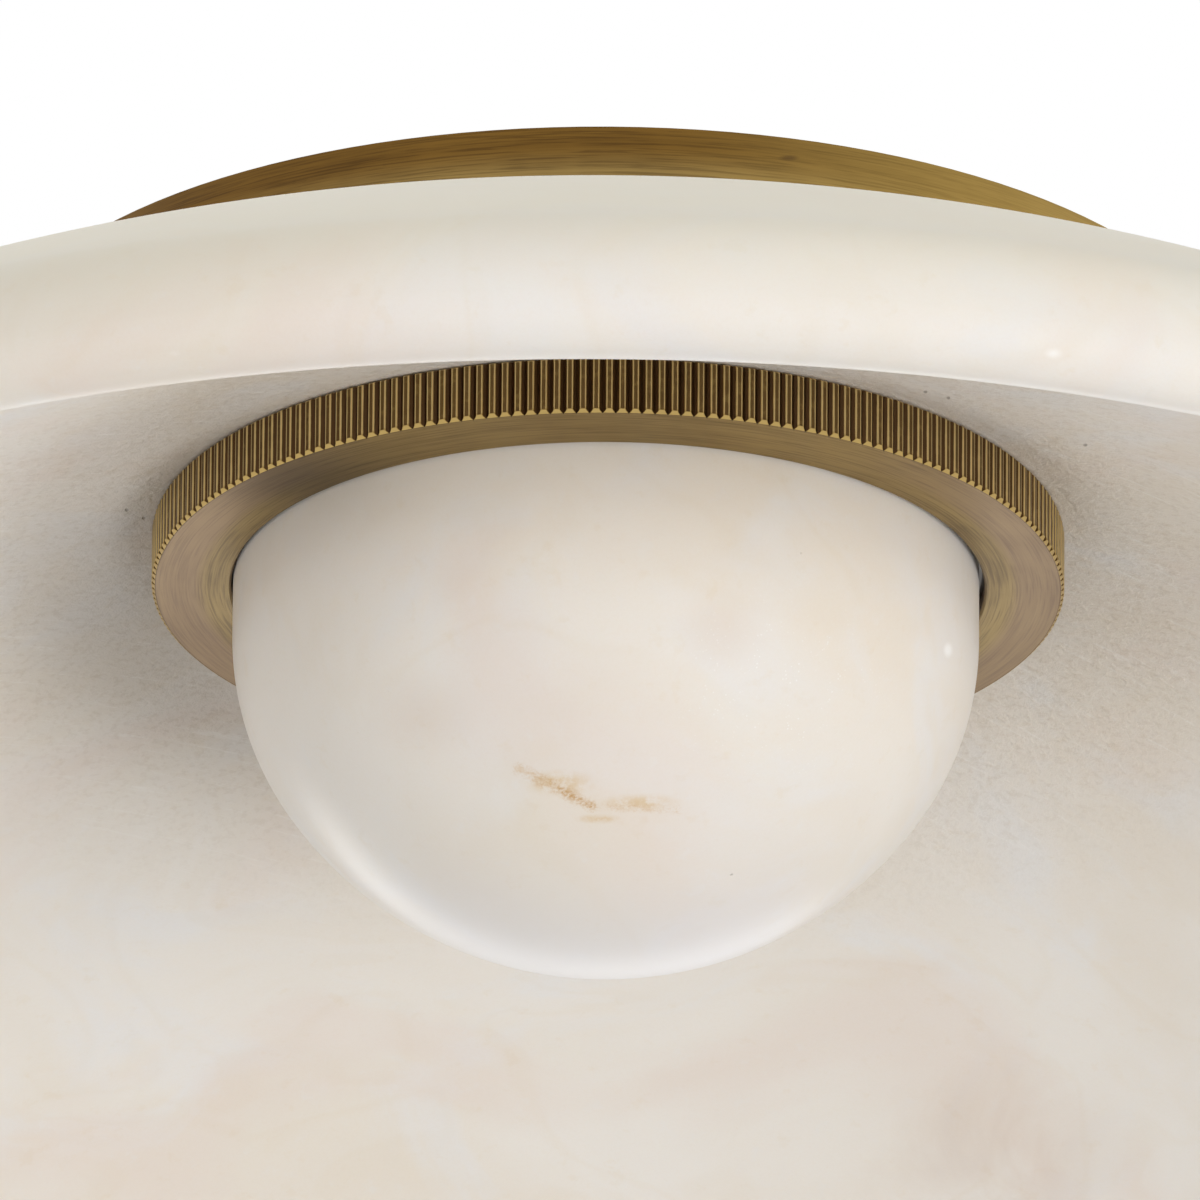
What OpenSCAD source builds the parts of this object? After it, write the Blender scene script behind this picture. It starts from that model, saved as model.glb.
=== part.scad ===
// Flush mount ceiling light: a brass canopy, a thick alabaster dish hung upside down under it,
// and an alabaster dome held in the middle by a coin-edged brass ring that screws on by hand.
// The ceiling is the plane z = 0 and everything hangs below it, in millimetres.

/* [Canopy] */
// Outside diameter of the round canopy
canopy_d = 204; // [192:1:214]
// Height of the canopy, from the ceiling to the underside of its floor
canopy_h = 15.2; // [15:0.1:18]
// Thickness of the canopy's sheet
canopy_t = 1.2; // [1:0.1:1.6]
// Outside radius of the bend between the canopy's wall and floor
canopy_bend_r = 2.4; // [2:0.1:3.5]

/* [Mounting bracket] */
// Spacing of the long pair of slots for the ceiling box's screws
box_spacing = 88.9; // [86:0.1:92]
// Spacing of the short pair of slots, across the bracket
box_spacing_short = 69.85; // [68:0.05:74]
// Width of the slots
slot_w = 4.6; // [4.2:0.1:5]
// End-to-end length of each slot
slot_l = 12; // [8:0.5:13]
// Outside diameter of the bracket's ring
bracket_d = 112; // [108:1:120]
// Diameter of the opening in the bracket's ring
bracket_hole_d = 50; // [44:1:54]
// Width of the bracket's two arms and turned-down ears
bracket_arm_w = 14; // [12:0.5:16]
// Thickness of the bracket's steel
bracket_t = 2; // [1.6:0.1:2.4]
// Length of the turned-down ears, from the ceiling
ear_h = 11.5; // [11:0.1:12.5]

/* [Side screws] */
// Shank diameter of the screws that hold the canopy to the bracket's ears
side_screw_d = 4; // [3:0.1:5]
// Head diameter of those screws
side_head_d = 8; // [7:0.1:9]
// Head thickness of those screws
side_head_t = 2.2; // [1.6:0.1:3]
// Shank length of those screws under the head
side_screw_l = 8; // [6:0.5:12]

/* [Alabaster dish] */
// Outside diameter of the dish
dish_d = 457; // [430:1:480]
// Height of the dish, from its flat land to the bottom of its lip
dish_h = 75; // [68:1:82]
// Diameter of the flat land under the canopy
dish_land_d = 221; // [218:1:226]
// Radius of the outside edge rounding
dish_edge_r = 20.5; // [18:0.5:24]
// Thickness of the dish at its lip
dish_lip_t = 16; // [13:0.5:18]
// Thickness of the dish's hub, where it is clamped
hub_t = 12.8; // [11:0.1:15]
// Diameter of the hole through the hub
hub_hole_d = 20; // [18:0.5:22]

/* [Threaded nipple and nuts] */
// Outside diameter of the hollow threaded nipple
nipple_d = 13.2; // [12.5:0.1:13.5]
// Bore of the nipple
nipple_bore = 9.6; // [9:0.1:10]
// Length of nipple that stands past each nut
nipple_proud = 1; // [0.5:0.1:1.5]
// Width across flats of the lock nuts
nut_af = 19; // [17:0.5:21]
// Thickness of the lock nuts
nut_t = 3.5; // [3:0.1:3.6]
// Outside diameter of the washers under the nuts
washer_d = 25; // [23:0.5:28]
// Thickness of those washers
washer_t = 1; // [0.8:0.1:1.2]
// Diameter of the steel plate that stiffens the canopy's floor
plate_d = 120; // [100:1:140]
// Thickness of that plate
plate_t = 2; // [1.6:0.1:2.2]
// Thickness of the felt gasket between canopy and dish
top_gasket_t = 0.8; // [0.5:0.1:1.2]
// Thickness of the cork gasket between dish and gallery
low_gasket_t = 0.8; // [0.5:0.1:1.2]

/* [Coin-edged ring] */
// Outside diameter of the ring, over its teeth
ring_d = 150; // [146:0.5:154]
// Height of the ring
ring_h = 9.5; // [9:0.1:11]
// Width of the ring's bottom face, from its bore to the tips of its teeth
ring_face_w = 12.7; // [12:0.1:14]
// Number of teeth round the ring
tooth_count = 220; // [160:4:240]
// Depth of the grooves between the teeth
tooth_depth = 0.9; // [0.5:0.1:1.2]
// Share of each pitch that the top of the tooth takes
tooth_share = 0.47; // [0.35:0.01:0.6]
// Chamfer at the bottom edge of the ring
ring_chamfer = 1.2; // [0.6:0.1:1.6]
// Chamfer at the top edge of the ring
ring_top_chamfer = 0.6; // [0.3:0.1:1]
// Thickness of the inward lip that carries the dome
ring_lip_t = 2.5; // [2:0.1:2.8]
// Wall between the bottoms of the teeth's grooves and the thread
ring_wall = 4.1; // [3:0.1:5]
// Thickness of the gallery's plate
gallery_t = 2; // [1.6:0.1:2.2]
// Thickness of the gallery's threaded skirt
skirt_t = 2.4; // [2:0.1:3]

/* [Alabaster dome] */
// Depth of the dome under the ring's bottom face
dome_drop = 63.9; // [60:0.1:68]
// Straight part of the dome's wall under the ring's bottom face
dome_straight = 8.8; // [6:0.1:12]
// Radius of the dome's shoulder
shoulder_r = 48; // [44:0.5:50]
// Thickness of the dome's wall
dome_wall = 6; // [4:0.5:7]
// Thickness of the soft gasket on the dome's flange
dome_gasket_t = 0.7; // [0.5:0.1:0.9]
// Thickness of the slip washer under the dome's flange
slip_t = 0.8; // [0.5:0.1:1]

/* [Light source] */
// Length of the standoffs that carry the heat sink
standoff_l = 25; // [25:0.5:28]
// Diameter of the standoffs
standoff_d = 7; // [6:0.5:8]
// Diameter of the standoffs' threaded studs
stud_d = 4; // [3:0.5:4]
// Depth of the tapped hole in each standoff
standoff_hole_l = 8; // [6:0.5:12]
// Distance of the standoffs' centres from the heat sink's edge
standoff_inset = 6; // [5:0.5:7]
// Gap between the heat sink's edge and the inside of the dome
sink_clear = 7.2; // [6:0.1:8]
// Thickness of the heat sink
sink_t = 4; // [3:0.5:5]
// Distance of the light-emitting board's edge from the heat sink's edge
board_inset = 12; // [10.5:0.5:14]
// Thickness of that board
board_t = 1.6; // [1:0.1:2]
// Thickness of the thermal pad between board and heat sink
pad_t = 0.4; // [0.3:0.1:0.6]
// Number of light-emitting chips
chip_count = 16; // [8:1:24]
// Distance of the chips' centres from the board's edge
chip_inset = 12; // [11:0.5:14]
// Length of the driver's case
driver_l = 50; // [46:1:54]
// Width of the driver's case
driver_w = 26; // [24:1:28]
// Height of the driver's case under its lid
driver_h = 14.5; // [13.5:0.5:16]
// Gap between the driver's case and the grommet of the board's wires
driver_gap = 1.8; // [1.5:0.1:2]
// Thickness of the driver's walls and lid
driver_wall = 1.5; // [1.2:0.1:1.8]

/* [Wiring] */
// Diameter of the supply wires
supply_wire_d = 2.2; // [1.8:0.1:2.4]
// Diameter of the wires to the light-emitting board
led_wire_d = 1.4; // [1.2:0.1:1.6]
// Length of the terminal block
terminal_l = 28; // [24:1:32]
// Depth of the terminal block, from wire side to wire side
terminal_w = 12; // [11.5:0.5:14]
// Height of the terminal block
terminal_h = 8; // [7:0.5:8.5]
// Distance of the terminal block from the centre
terminal_y = 30; // [29:0.5:32]
// Spacing of the terminal block's poles
pole_pitch = 8; // [7.5:0.1:8.2]

/* [Clearances] */
// Radial clearance of the thread between gallery and ring
thread_clear = 0.05; // [0.03:0.01:0.08]
// Gap between the ring's top face and the dish
ring_gap = 0.3; // [0.2:0.1:0.5]
// Gap all round between the dome and the ring's bore
dome_gap = 1; // [0.6:0.1:1.4]
// Gap all round between the dome's flange and the gallery's skirt
flange_gap = 1; // [0.6:0.1:1.4]
// Radial clearance of a screw in a tapped hole
tap_clear = 0.05; // [0.03:0.01:0.08]
// Radial clearance of a part over the nipple or in a drilled hole
free_clear = 0.1; // [0.05:0.01:0.2]
// Gap between the corners of the bracket's ears and the canopy's wall
ear_gap = 0.3; // [0.2:0.05:0.5]
// Gap between flat faces that only just meet
face_gap = 0.02; // [0.01:0.01:0.05]

/* [Hidden] */
$fn = 192;

// How far a cut runs past the faces that it opens
past = 1;

// Heights of the faces in the stack, from the ceiling down
z_canopy_under = -canopy_h;
z_canopy_floor = z_canopy_under + canopy_t;
z_plate_top = z_canopy_floor + plate_t;
z_upper_nut = z_plate_top + washer_t;
z_nipple_top = z_upper_nut + nut_t + nipple_proud;
z_land = z_canopy_under - top_gasket_t;
z_hub_under = z_land - hub_t;
z_gallery_top = z_hub_under - low_gasket_t;
z_gallery_under = z_gallery_top - gallery_t;
z_lower_nut = z_gallery_under - washer_t - nut_t;
z_nipple_low = z_lower_nut - nipple_proud;
z_ring_top = z_hub_under - ring_gap;
z_ring_low = z_ring_top - ring_h;
z_ring_lip = z_ring_low + ring_lip_t;
z_flange_low = z_ring_lip + slip_t;
z_flange_top = z_gallery_under - dome_gasket_t;
z_dome_low = z_ring_low - dome_drop;
z_shoulder = z_ring_low - dome_straight;
z_sink_top = z_gallery_under - standoff_l;
z_sink_low = z_sink_top - sink_t;
z_board_top = z_sink_low - pad_t;
z_board_low = z_board_top - board_t;
z_lip_low = z_land - dish_h;

// Radii that follow from the driving sizes
canopy_r = canopy_d / 2;
canopy_in_r = canopy_r - canopy_t;
nipple_r = nipple_d / 2;
nipple_hole_r = nipple_r + free_clear;
ring_r = ring_d / 2;
thread_r = ring_r - tooth_depth - ring_wall;
skirt_in_r = thread_r - skirt_t;
flange_r = skirt_in_r - flange_gap;
ring_bore_r = ring_r - ring_face_w;
dome_r = ring_bore_r - dome_gap;
dish_r = dish_d / 2;
hub_flat_margin = 0.5;
hub_flat_r = ring_r + hub_flat_margin;
gasket_margin = 3;

// Half of the lip's thickness rounds the lip's bottom
lip_r = dish_lip_t / 2;
z_edge = z_lip_low + lip_r;
edge_centre = [dish_r - dish_edge_r, z_edge];
lip_centre = [dish_r - lip_r, z_edge];

// Centre height of the circle on the axis that passes through point p and touches the circle
// of radius |s| round point q: from outside where s is positive, from inside where negative
function touch_centre(p, q, s) =
    let (n = (p[1] - q[1]) / s)
    let (m = (q[0] * q[0] - p[0] * p[0] + q[1] * q[1] - p[1] * p[1] - s * s) / (2 * s))
    let (a = 1 - n * n, b = -2 * (p[1] + m * n), c = p[0] * p[0] + p[1] * p[1] - m * m)
    let (root = sqrt(b * b - 4 * a * c))
    let (first = (root - b) / (2 * a), second = (-root - b) / (2 * a))
    m + n * first > 0 ? first : second;
function touch_radius(p, centre) = norm([p[0], p[1] - centre]);

land_point = [dish_land_d / 2, z_land];
hub_point = [hub_flat_r, z_hub_under];
z_outer_centre = touch_centre(land_point, edge_centre, -dish_edge_r);
outer_r = touch_radius(land_point, z_outer_centre);
z_inner_centre = touch_centre(hub_point, lip_centre, lip_r);
inner_r = touch_radius(hub_point, z_inner_centre);

// The dome's crown touches its shoulder
shoulder_x = dome_r - shoulder_r;
crown_h = z_shoulder - z_dome_low;
crown_r = (shoulder_x * shoulder_x + crown_h * crown_h - shoulder_r * shoulder_r)
    / (2 * (crown_h - shoulder_r));
z_crown = z_dome_low + crown_r;
crown_angle = atan2(z_shoulder - z_crown, shoulder_x);

// Bracket ears and side screws
ear_x = sqrt(pow(canopy_in_r - ear_gap, 2) - pow(bracket_arm_w / 2, 2));
z_side_screw = -7;
side_hole_clear = 0.3;
ground_ring_r = 43;
ground_angle = 225;

// Terminal block on the plate
terminal_size = [terminal_l, terminal_w, terminal_h];
pole_h = 3.3;
pole_z = z_plate_top + pole_h;
pole_hole_r = 1.7;
pole_hole_l = 5;
pole_screw_d = 2.6;
pole_screw_y = 3.4;
clamp_sunk = 0.5;
clamp_slot_w = 0.6;
terminal_in_y = terminal_y - terminal_w / 2;
fixing_d = 2;
fixing_head_d = 3.6;
fixing_head_t = 1.1;
small_screw_d = 3;
small_head_d = 5.5;
small_head_t = 1.9;
screw_end_gap = 1;

// Ground lug on the plate, turned towards the terminal block
lug_at = [-24, 4];
lug_r = 4;
lug_t = 0.8;
lug_aim = 4;
lug_angle = atan2(terminal_in_y - lug_aim - lug_at[1], -pole_pitch - lug_at[0]);
lug_reach = 9;
lug_stop = 1;
barrel_wall = 0.6;
barrel_r = supply_wire_d / 2 + barrel_wall;
ground_screw_d = 4;
ground_head_d = 7;
ground_head_t = 2;

// Bushings, wires and their bends
bushing_wall = 0.8;
bushing_lip_t = 0.8;
bushing_l = 5;
pair_gap = 1;
led_pair_gap = 0.8;
pair_x = (supply_wire_d + pair_gap) / 2;
led_pair_x = (led_wire_d + led_pair_gap) / 2;
top_bend = 3.4;
bend_inset = top_bend * (1 - cos(45));
z_over = z_nipple_top + bushing_lip_t + top_bend;
z_under = z_nipple_low - bushing_lip_t;
wire_sides = 8;
wire_steps = 5;

// Grommet in the heat sink's middle and the driver beside it
grommet_r = 4;
grommet_bore_r = 2.6;
grommet_lip_r = 5.2;
grommet_lip_t = 0.8;
driver_y = -grommet_lip_r - driver_gap - driver_w / 2;
driver_size = [driver_l, driver_w, driver_h];
driver_front = driver_y + driver_w / 2;
z_driver_top = z_sink_top + driver_h;
tab_l = 8;
tab_w = 8;
tab_t = 2;
tab_hole_x = (driver_l + tab_l) / 2;
rib_h = 2;
rib_w = 2;
rib_x = 15;
circuit_margin = 3;
circuit_t = 1.2;
circuit_size = [driver_l - 2 * circuit_margin, driver_w - 2 * circuit_margin, circuit_t];
z_circuit = z_sink_top + driver_wall + rib_h;
z_circuit_top = z_circuit + circuit_t;
header_w = 4;
header_h = 5;
header_wire_h = 3.3;
header_inset = 0.5;
header_margin = 2;
z_driver_wire = z_circuit_top + header_wire_h;
header_y = driver_y + circuit_size[1] / 2 - header_inset;
line_x = -12;
neutral_x = -7;
led_plus_x = 6;
led_minus_x = 9;
lid_step = 1;
lid_clear = 0.2;

// Coil and capacitors stand on the driver's circuit, under the lid's step
lid_room = z_driver_top - lid_step - z_circuit_top;
coil_at = [-12, -2];
coil_gap = 0.8;
coil_size = [12, 10, lid_room - coil_gap];
capacitor_xs = [3, 13];
capacitor_y = -3;
capacitor_d = 7;
capacitor_gap = 1.3;
capacitor_h = lid_room - capacitor_gap;

// Heat sink, standoffs and board, inside the dome's shoulder
sink_r = shoulder_x + sqrt(pow(shoulder_r - dome_wall, 2) - pow(z_shoulder - z_sink_low, 2))
    - sink_clear;
standoff_ring_r = sink_r - standoff_inset;
board_r = sink_r - board_inset;
chip_ring_r = board_r - chip_inset;
standoff_angles = [30, 150, 270];
board_screw_angles = [90, 210, 330];
board_screw_inset = 4;
board_screw_r = board_r - board_screw_inset;
pad_margin = 1;
board_hole_r = 5.8;
chip_size = [3.5, 2.8, 0.8];
connector_size = [8, 6, 4];
connector_gap = 0.6;
connector_hole_l = 2;
connector_y = board_hole_r + connector_gap;
z_connector_wire = z_board_low - connector_size[2] / 2;

// Soft gasket and slip washer, set in from the edges of the dome's flange
dome_gasket_margin = 0.4;
dome_gasket_reach = 1;
slip_margin = 0.3;

// Share of a tooth's pitch that each of its two sloped flanks takes
flank_share = 0.07;
pitch_angle = 360 / tooth_count;
groove_r = ring_r - tooth_depth;

brass = "#84682f";
steel = "#a9acaf";
stone = "#efe8dc";

// Straight ring between two radii, from height z0 up to z1
module flat_ring(r_out, r_in, z0, z1) {
    translate([0, 0, z0])
        difference() {
            cylinder(r = r_out, h = z1 - z0);
            translate([0, 0, -past])
                cylinder(r = r_in, h = z1 - z0 + 2 * past);
        }
}

// Screw standing on z = 0: a slotted head above and a plain shank below
module slotted_screw(head_d, head_t, shank_d, shank_l) {
    bevel = head_t / 3;
    slot = head_d / 7;
    difference() {
        rotate_extrude()
            polygon([
                [0, -shank_l], [shank_d / 2, -shank_l], [shank_d / 2, 0], [head_d / 2, 0],
                [head_d / 2, head_t - bevel], [head_d / 2 - bevel, head_t], [0, head_t]
            ]);
        translate([-head_d, -slot / 2, head_t / 2])
            cube([2 * head_d, slot, head_t]);
    }
}

// A hole that goes right through z0 to z1 at a place in the plan
module drill(at, r, z0, z1) {
    translate([at[0], at[1], z0 - past])
        cylinder(r = r, h = z1 - z0 + 2 * past);
}

function on_circle(r, angle) = [r * cos(angle), r * sin(angle)];

// Round wire through the points, curving smoothly from one to the next
function between(a, b, c, d, t) =
    0.5 * (2 * b + (c - a) * t + (2 * a - 5 * b + 4 * c - d) * t * t
    + (3 * b - a - 3 * c + d) * t * t * t);
function route(points) =
    let (last = len(points) - 1)
    concat(
        [for (i = [0 : last - 1]) for (k = [0 : wire_steps - 1])
            between(points[max(i - 1, 0)], points[i], points[i + 1],
                points[min(i + 2, last)], k / wire_steps)],
        [points[last]]
    );
function unit(v) = v / norm(v);
function heading(path, i) =
    let (last = len(path) - 1)
    i == 0 ? unit(path[1] - path[0])
    : i == last ? unit(path[last] - path[last - 1])
    : unit(unit(path[i + 1] - path[i]) + unit(path[i] - path[i - 1]));
function beside(side, along) = unit(side - (side * along) * along);

module wire(points, d) {
    path = route(points);
    last = len(path) - 1;
    sides = [
        for (i = 0, side = beside([1, 0.2, 0.1], heading(path, 0)); i <= last;
            i = i + 1, side = i <= last ? beside(side, heading(path, i)) : side) side
    ];
    spots = [
        for (i = [0 : last]) for (k = [0 : wire_sides - 1])
            let (along = heading(path, i), angle = 360 * k / wire_sides)
            path[i] + d / 2 * (cos(angle) * sides[i] + sin(angle) * cross(along, sides[i]))
    ];
    skin = [
        for (i = [0 : last - 1]) for (k = [0 : wire_sides - 1])
            let (here = i * wire_sides, next = (k + 1) % wire_sides)
            for (half = [
                [here + k, here + wire_sides + k, here + wire_sides + next],
                [here + k, here + wire_sides + next, here + next]
            ]) half
    ];
    start = [for (k = [0 : wire_sides - 1]) k];
    finish = [for (k = [wire_sides - 1 : -1 : 0]) last * wire_sides + k];
    polyhedron(points = spots, faces = concat(skin, [start, finish]));
}

// Half of a pan's section, from height z0 up to z1, with a round bottom corner
module pan_section(r, z0, z1, bend) {
    translate([0, z0])
        square([r - bend, z1 - z0]);
    translate([0, z0 + bend])
        square([r, z1 - z0 - bend]);
    translate([r - bend, z0 + bend])
        circle(bend);
}

module ceiling_canopy() {
    color(brass)
        difference() {
            rotate_extrude()
                difference() {
                    pan_section(canopy_r, z_canopy_under, 0, canopy_bend_r);
                    pan_section(canopy_in_r, z_canopy_floor, past, canopy_bend_r - canopy_t);
                }
            drill([0, 0], nipple_hole_r, z_canopy_under, z_canopy_floor);
            for (side = [0, 180])
                rotate([0, 0, side])
                    translate([canopy_in_r - past, 0, z_side_screw])
                        rotate([0, 90, 0])
                            cylinder(r = side_screw_d / 2 + side_hole_clear,
                                h = canopy_t + 2 * past);
        }
}

// Slot with round ends along x, cut through the bracket
module bracket_slot() {
    straight = slot_l - slot_w;
    translate([0, 0, -bracket_t - past])
        linear_extrude(bracket_t + 2 * past) {
            square([straight, slot_w], center = true);
            for (end = [-1, 1])
                translate([end * straight / 2, 0])
                    circle(d = slot_w);
        }
}

module mounting_bracket() {
    color(steel)
        difference() {
            union() {
                translate([0, 0, -bracket_t])
                    cylinder(d = bracket_d, h = bracket_t);
                translate([-ear_x, -bracket_arm_w / 2, -bracket_t])
                    cube([2 * ear_x, bracket_arm_w, bracket_t]);
                for (side = [0, 180])
                    rotate([0, 0, side])
                        translate([ear_x - bracket_t, -bracket_arm_w / 2, -ear_h])
                            cube([bracket_t, bracket_arm_w, ear_h]);
            }
            drill([0, 0], bracket_hole_d / 2, -bracket_t, 0);
            for (side = [-1, 1]) {
                translate([side * box_spacing / 2, 0, 0])
                    bracket_slot();
                translate([0, side * box_spacing_short / 2, 0])
                    rotate([0, 0, 90])
                        bracket_slot();
            }
            for (side = [0, 180])
                rotate([0, 0, side])
                    translate([ear_x - bracket_t - past, 0, z_side_screw])
                        rotate([0, 90, 0])
                            cylinder(r = side_screw_d / 2 + tap_clear,
                                h = bracket_t + 2 * past);
            drill(on_circle(ground_ring_r, ground_angle), ground_screw_d / 2 + tap_clear,
                -bracket_t, 0);
        }
}

module canopy_side_screws() {
    color(brass)
        for (side = [0, 180])
            rotate([0, 0, side])
                translate([canopy_r + face_gap, 0, z_side_screw])
                    rotate([0, 90, 0])
                        slotted_screw(side_head_d, side_head_t, side_screw_d, side_screw_l);
}

module reinforcing_plate() {
    color(steel)
        difference() {
            flat_ring(plate_d / 2, nipple_hole_r, z_canopy_floor, z_plate_top);
            drill(lug_at, ground_screw_d / 2 + tap_clear, z_canopy_floor, z_plate_top);
            for (side = [-1, 1])
                drill([side * pole_pitch / 2, terminal_y], fixing_d / 2 + tap_clear,
                    z_canopy_floor, z_plate_top);
        }
}

module top_gasket() {
    color("#6b6259")
        flat_ring(canopy_r - canopy_bend_r - gasket_margin, nipple_hole_r, z_land,
            z_canopy_under);
}

// Half of the dish's section: a crown under one arc, an edge rounding, a lip with a round
// bottom, and a hollow that starts at the hub's flat underside and touches the lip's round
module dish_section() {
    out_way = unit(edge_centre - [0, z_outer_centre]);
    in_way = unit(lip_centre - [0, z_inner_centre]);
    far = 2 * outer_r;
    difference() {
        union() {
            intersection() {
                translate([0, z_outer_centre])
                    circle(outer_r, $fn = 720);
                polygon([
                    [0, z_edge], [edge_centre[0], z_edge],
                    [0, z_outer_centre] + far * out_way, [0, z_outer_centre + far]
                ]);
                translate([0, z_edge])
                    square([dish_r, z_land - z_edge]);
            }
            intersection() {
                translate(edge_centre)
                    circle(dish_edge_r);
                polygon([edge_centre, edge_centre + [dish_r, 0], edge_centre + dish_r * out_way]);
            }
            intersection() {
                translate(lip_centre)
                    circle(lip_r);
                translate([0, z_edge - dish_lip_t])
                    square([2 * dish_r, dish_lip_t]);
            }
            polygon([lip_centre, lip_centre - [3 * lip_r, 0], lip_centre - 2 * lip_r * in_way]);
        }
        intersection() {
            translate([0, z_inner_centre])
                circle(inner_r, $fn = 720);
            translate([0, z_edge - dish_h])
                square([dish_r, z_hub_under - z_edge + dish_h]);
        }
        translate([0, z_hub_under - past])
            square([hub_hole_d / 2, hub_t + 2 * past]);
    }
}

module alabaster_dish() {
    color(stone)
        rotate_extrude()
            dish_section();
}

module hub_bushing() {
    color("#d9d4c4")
        flat_ring(hub_hole_d / 2 - free_clear, nipple_hole_r, z_hub_under, z_land);
}

module threaded_nipple() {
    color("#b58d3d")
        flat_ring(nipple_r, nipple_bore / 2, z_nipple_low, z_nipple_top);
}

module upper_washer() {
    color(steel)
        flat_ring(washer_d / 2, nipple_hole_r, z_plate_top, z_upper_nut);
}

module lower_washer() {
    color(steel)
        flat_ring(washer_d / 2, nipple_hole_r, z_gallery_under - washer_t, z_gallery_under);
}

module lock_nut(z0) {
    color(steel)
        translate([0, 0, z0])
            difference() {
                cylinder(d = nut_af / cos(30), h = nut_t, $fn = 6);
                drill([0, 0], nipple_r + tap_clear, 0, nut_t);
            }
}

module upper_lock_nut() {
    lock_nut(z_upper_nut);
}

module lower_lock_nut() {
    lock_nut(z_lower_nut);
}

// Plastic insert that keeps the wires off the nipple's sharp mouth, with its lip at z = 0
module wire_bushing() {
    sleeve_r = nipple_bore / 2 - free_clear;
    difference() {
        union() {
            cylinder(r = nipple_r - free_clear, h = bushing_lip_t);
            translate([0, 0, -bushing_l])
                cylinder(r = sleeve_r, h = bushing_l + bushing_lip_t);
        }
        drill([0, 0], sleeve_r - bushing_wall, -bushing_l, bushing_lip_t);
    }
}

module nipple_bushings() {
    color("#2b2b2b") {
        translate([0, 0, z_nipple_top])
            wire_bushing();
        translate([0, 0, z_nipple_low])
            rotate([180, 0, 0])
                wire_bushing();
    }
}

module lower_gasket() {
    color("#a5794e")
        flat_ring(thread_r - gasket_margin, nipple_hole_r, z_gallery_top, z_hub_under);
}

module gallery() {
    z_skirt_low = z_ring_lip + ring_gap;
    color(brass)
        difference() {
            rotate_extrude()
                polygon([
                    [nipple_hole_r, z_gallery_under], [skirt_in_r, z_gallery_under],
                    [skirt_in_r, z_skirt_low], [thread_r, z_skirt_low],
                    [thread_r, z_gallery_top], [nipple_hole_r, z_gallery_top]
                ]);
            for (angle = standoff_angles)
                drill(on_circle(standoff_ring_r, angle), stud_d / 2 + tap_clear,
                    z_gallery_under, z_gallery_top);
        }
}

module terminal_block() {
    z_top = z_plate_top + terminal_h;
    color("#e9e6da")
        difference() {
            translate([-terminal_l / 2, terminal_in_y, z_plate_top])
                cube(terminal_size);
            for (pole = [-1, 0, 1]) for (side = [0, 180])
                translate([pole * pole_pitch, terminal_y, pole_z])
                    rotate([0, 0, side])
                        translate([0, terminal_w / 2 - pole_hole_l, 0])
                            rotate([-90, 0, 0])
                                cylinder(r = pole_hole_r, h = pole_hole_l + past);
            for (pole = [-1, 0, 1]) for (side = [-1, 1])
                translate([pole * pole_pitch, terminal_y + side * pole_screw_y, pole_z])
                    cylinder(r = pole_screw_d / 2 + tap_clear, h = z_top - pole_z + past);
            for (side = [-1, 1])
                drill([side * pole_pitch / 2, terminal_y], fixing_d / 2 + free_clear,
                    z_plate_top, z_top);
        }
}

// Clamp screw sunk in a pole, with its tip at height z_tip
module clamp_screw(z_tip) {
    z_top = z_plate_top + terminal_h - clamp_sunk;
    difference() {
        translate([0, 0, z_tip])
            cylinder(d = pole_screw_d, h = z_top - z_tip);
        translate([-pole_screw_d, -clamp_slot_w / 2, z_top - clamp_slot_w])
            cube([2 * pole_screw_d, clamp_slot_w, 2 * clamp_slot_w]);
    }
}

module terminal_screws() {
    color("#c8b06a") {
        for (pole = [-1, 0, 1]) {
            translate([pole * pole_pitch, terminal_y - pole_screw_y, 0])
                clamp_screw(pole_z + supply_wire_d / 2 + face_gap);
            translate([pole * pole_pitch, terminal_y + pole_screw_y, 0])
                clamp_screw(pole_z + pole_hole_r + face_gap);
        }
        for (side = [-1, 1])
            translate([side * pole_pitch / 2, terminal_y, z_plate_top + terminal_h])
                slotted_screw(fixing_head_d, fixing_head_t, fixing_d,
                    terminal_h + plate_t - face_gap);
    }
}

module ground_lug() {
    color("#c9c5b8")
        translate([lug_at[0], lug_at[1], z_plate_top])
            rotate([0, 0, lug_angle])
                difference() {
                    union() {
                        cylinder(r = lug_r, h = lug_t);
                        translate([lug_r - lug_stop, 0, barrel_r])
                            rotate([0, 90, 0])
                                cylinder(r = barrel_r, h = lug_reach - lug_r + lug_stop);
                    }
                    drill([0, 0], ground_screw_d / 2 + free_clear, 0, lug_t);
                    translate([0, 0, lug_t])
                        cylinder(r = ground_head_d / 2 + 2 * free_clear, h = 2 * barrel_r);
                    translate([lug_r + lug_stop, 0, barrel_r])
                        rotate([0, 90, 0])
                            cylinder(r = supply_wire_d / 2 + tap_clear, h = lug_reach);
                }
}

module ground_screw() {
    color("#3f8f4f")
        translate([lug_at[0], lug_at[1], z_plate_top + lug_t])
            slotted_screw(ground_head_d, ground_head_t, ground_screw_d,
                lug_t + plate_t - face_gap);
}

module bracket_ground_screw() {
    at = on_circle(ground_ring_r, ground_angle);
    color("#3f8f4f")
        translate([at[0], at[1], -bracket_t])
            rotate([180, 0, 0])
                slotted_screw(ground_head_d, ground_head_t, ground_screw_d,
                    bracket_t - face_gap);
}

// A wire's start inside a pole of the terminal block
function in_pole(pole) = [pole * pole_pitch, terminal_in_y + pole_hole_l - 1, pole_z];
function at_pole(pole, out) = [pole * pole_pitch, terminal_in_y - out, pole_z];

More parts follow.
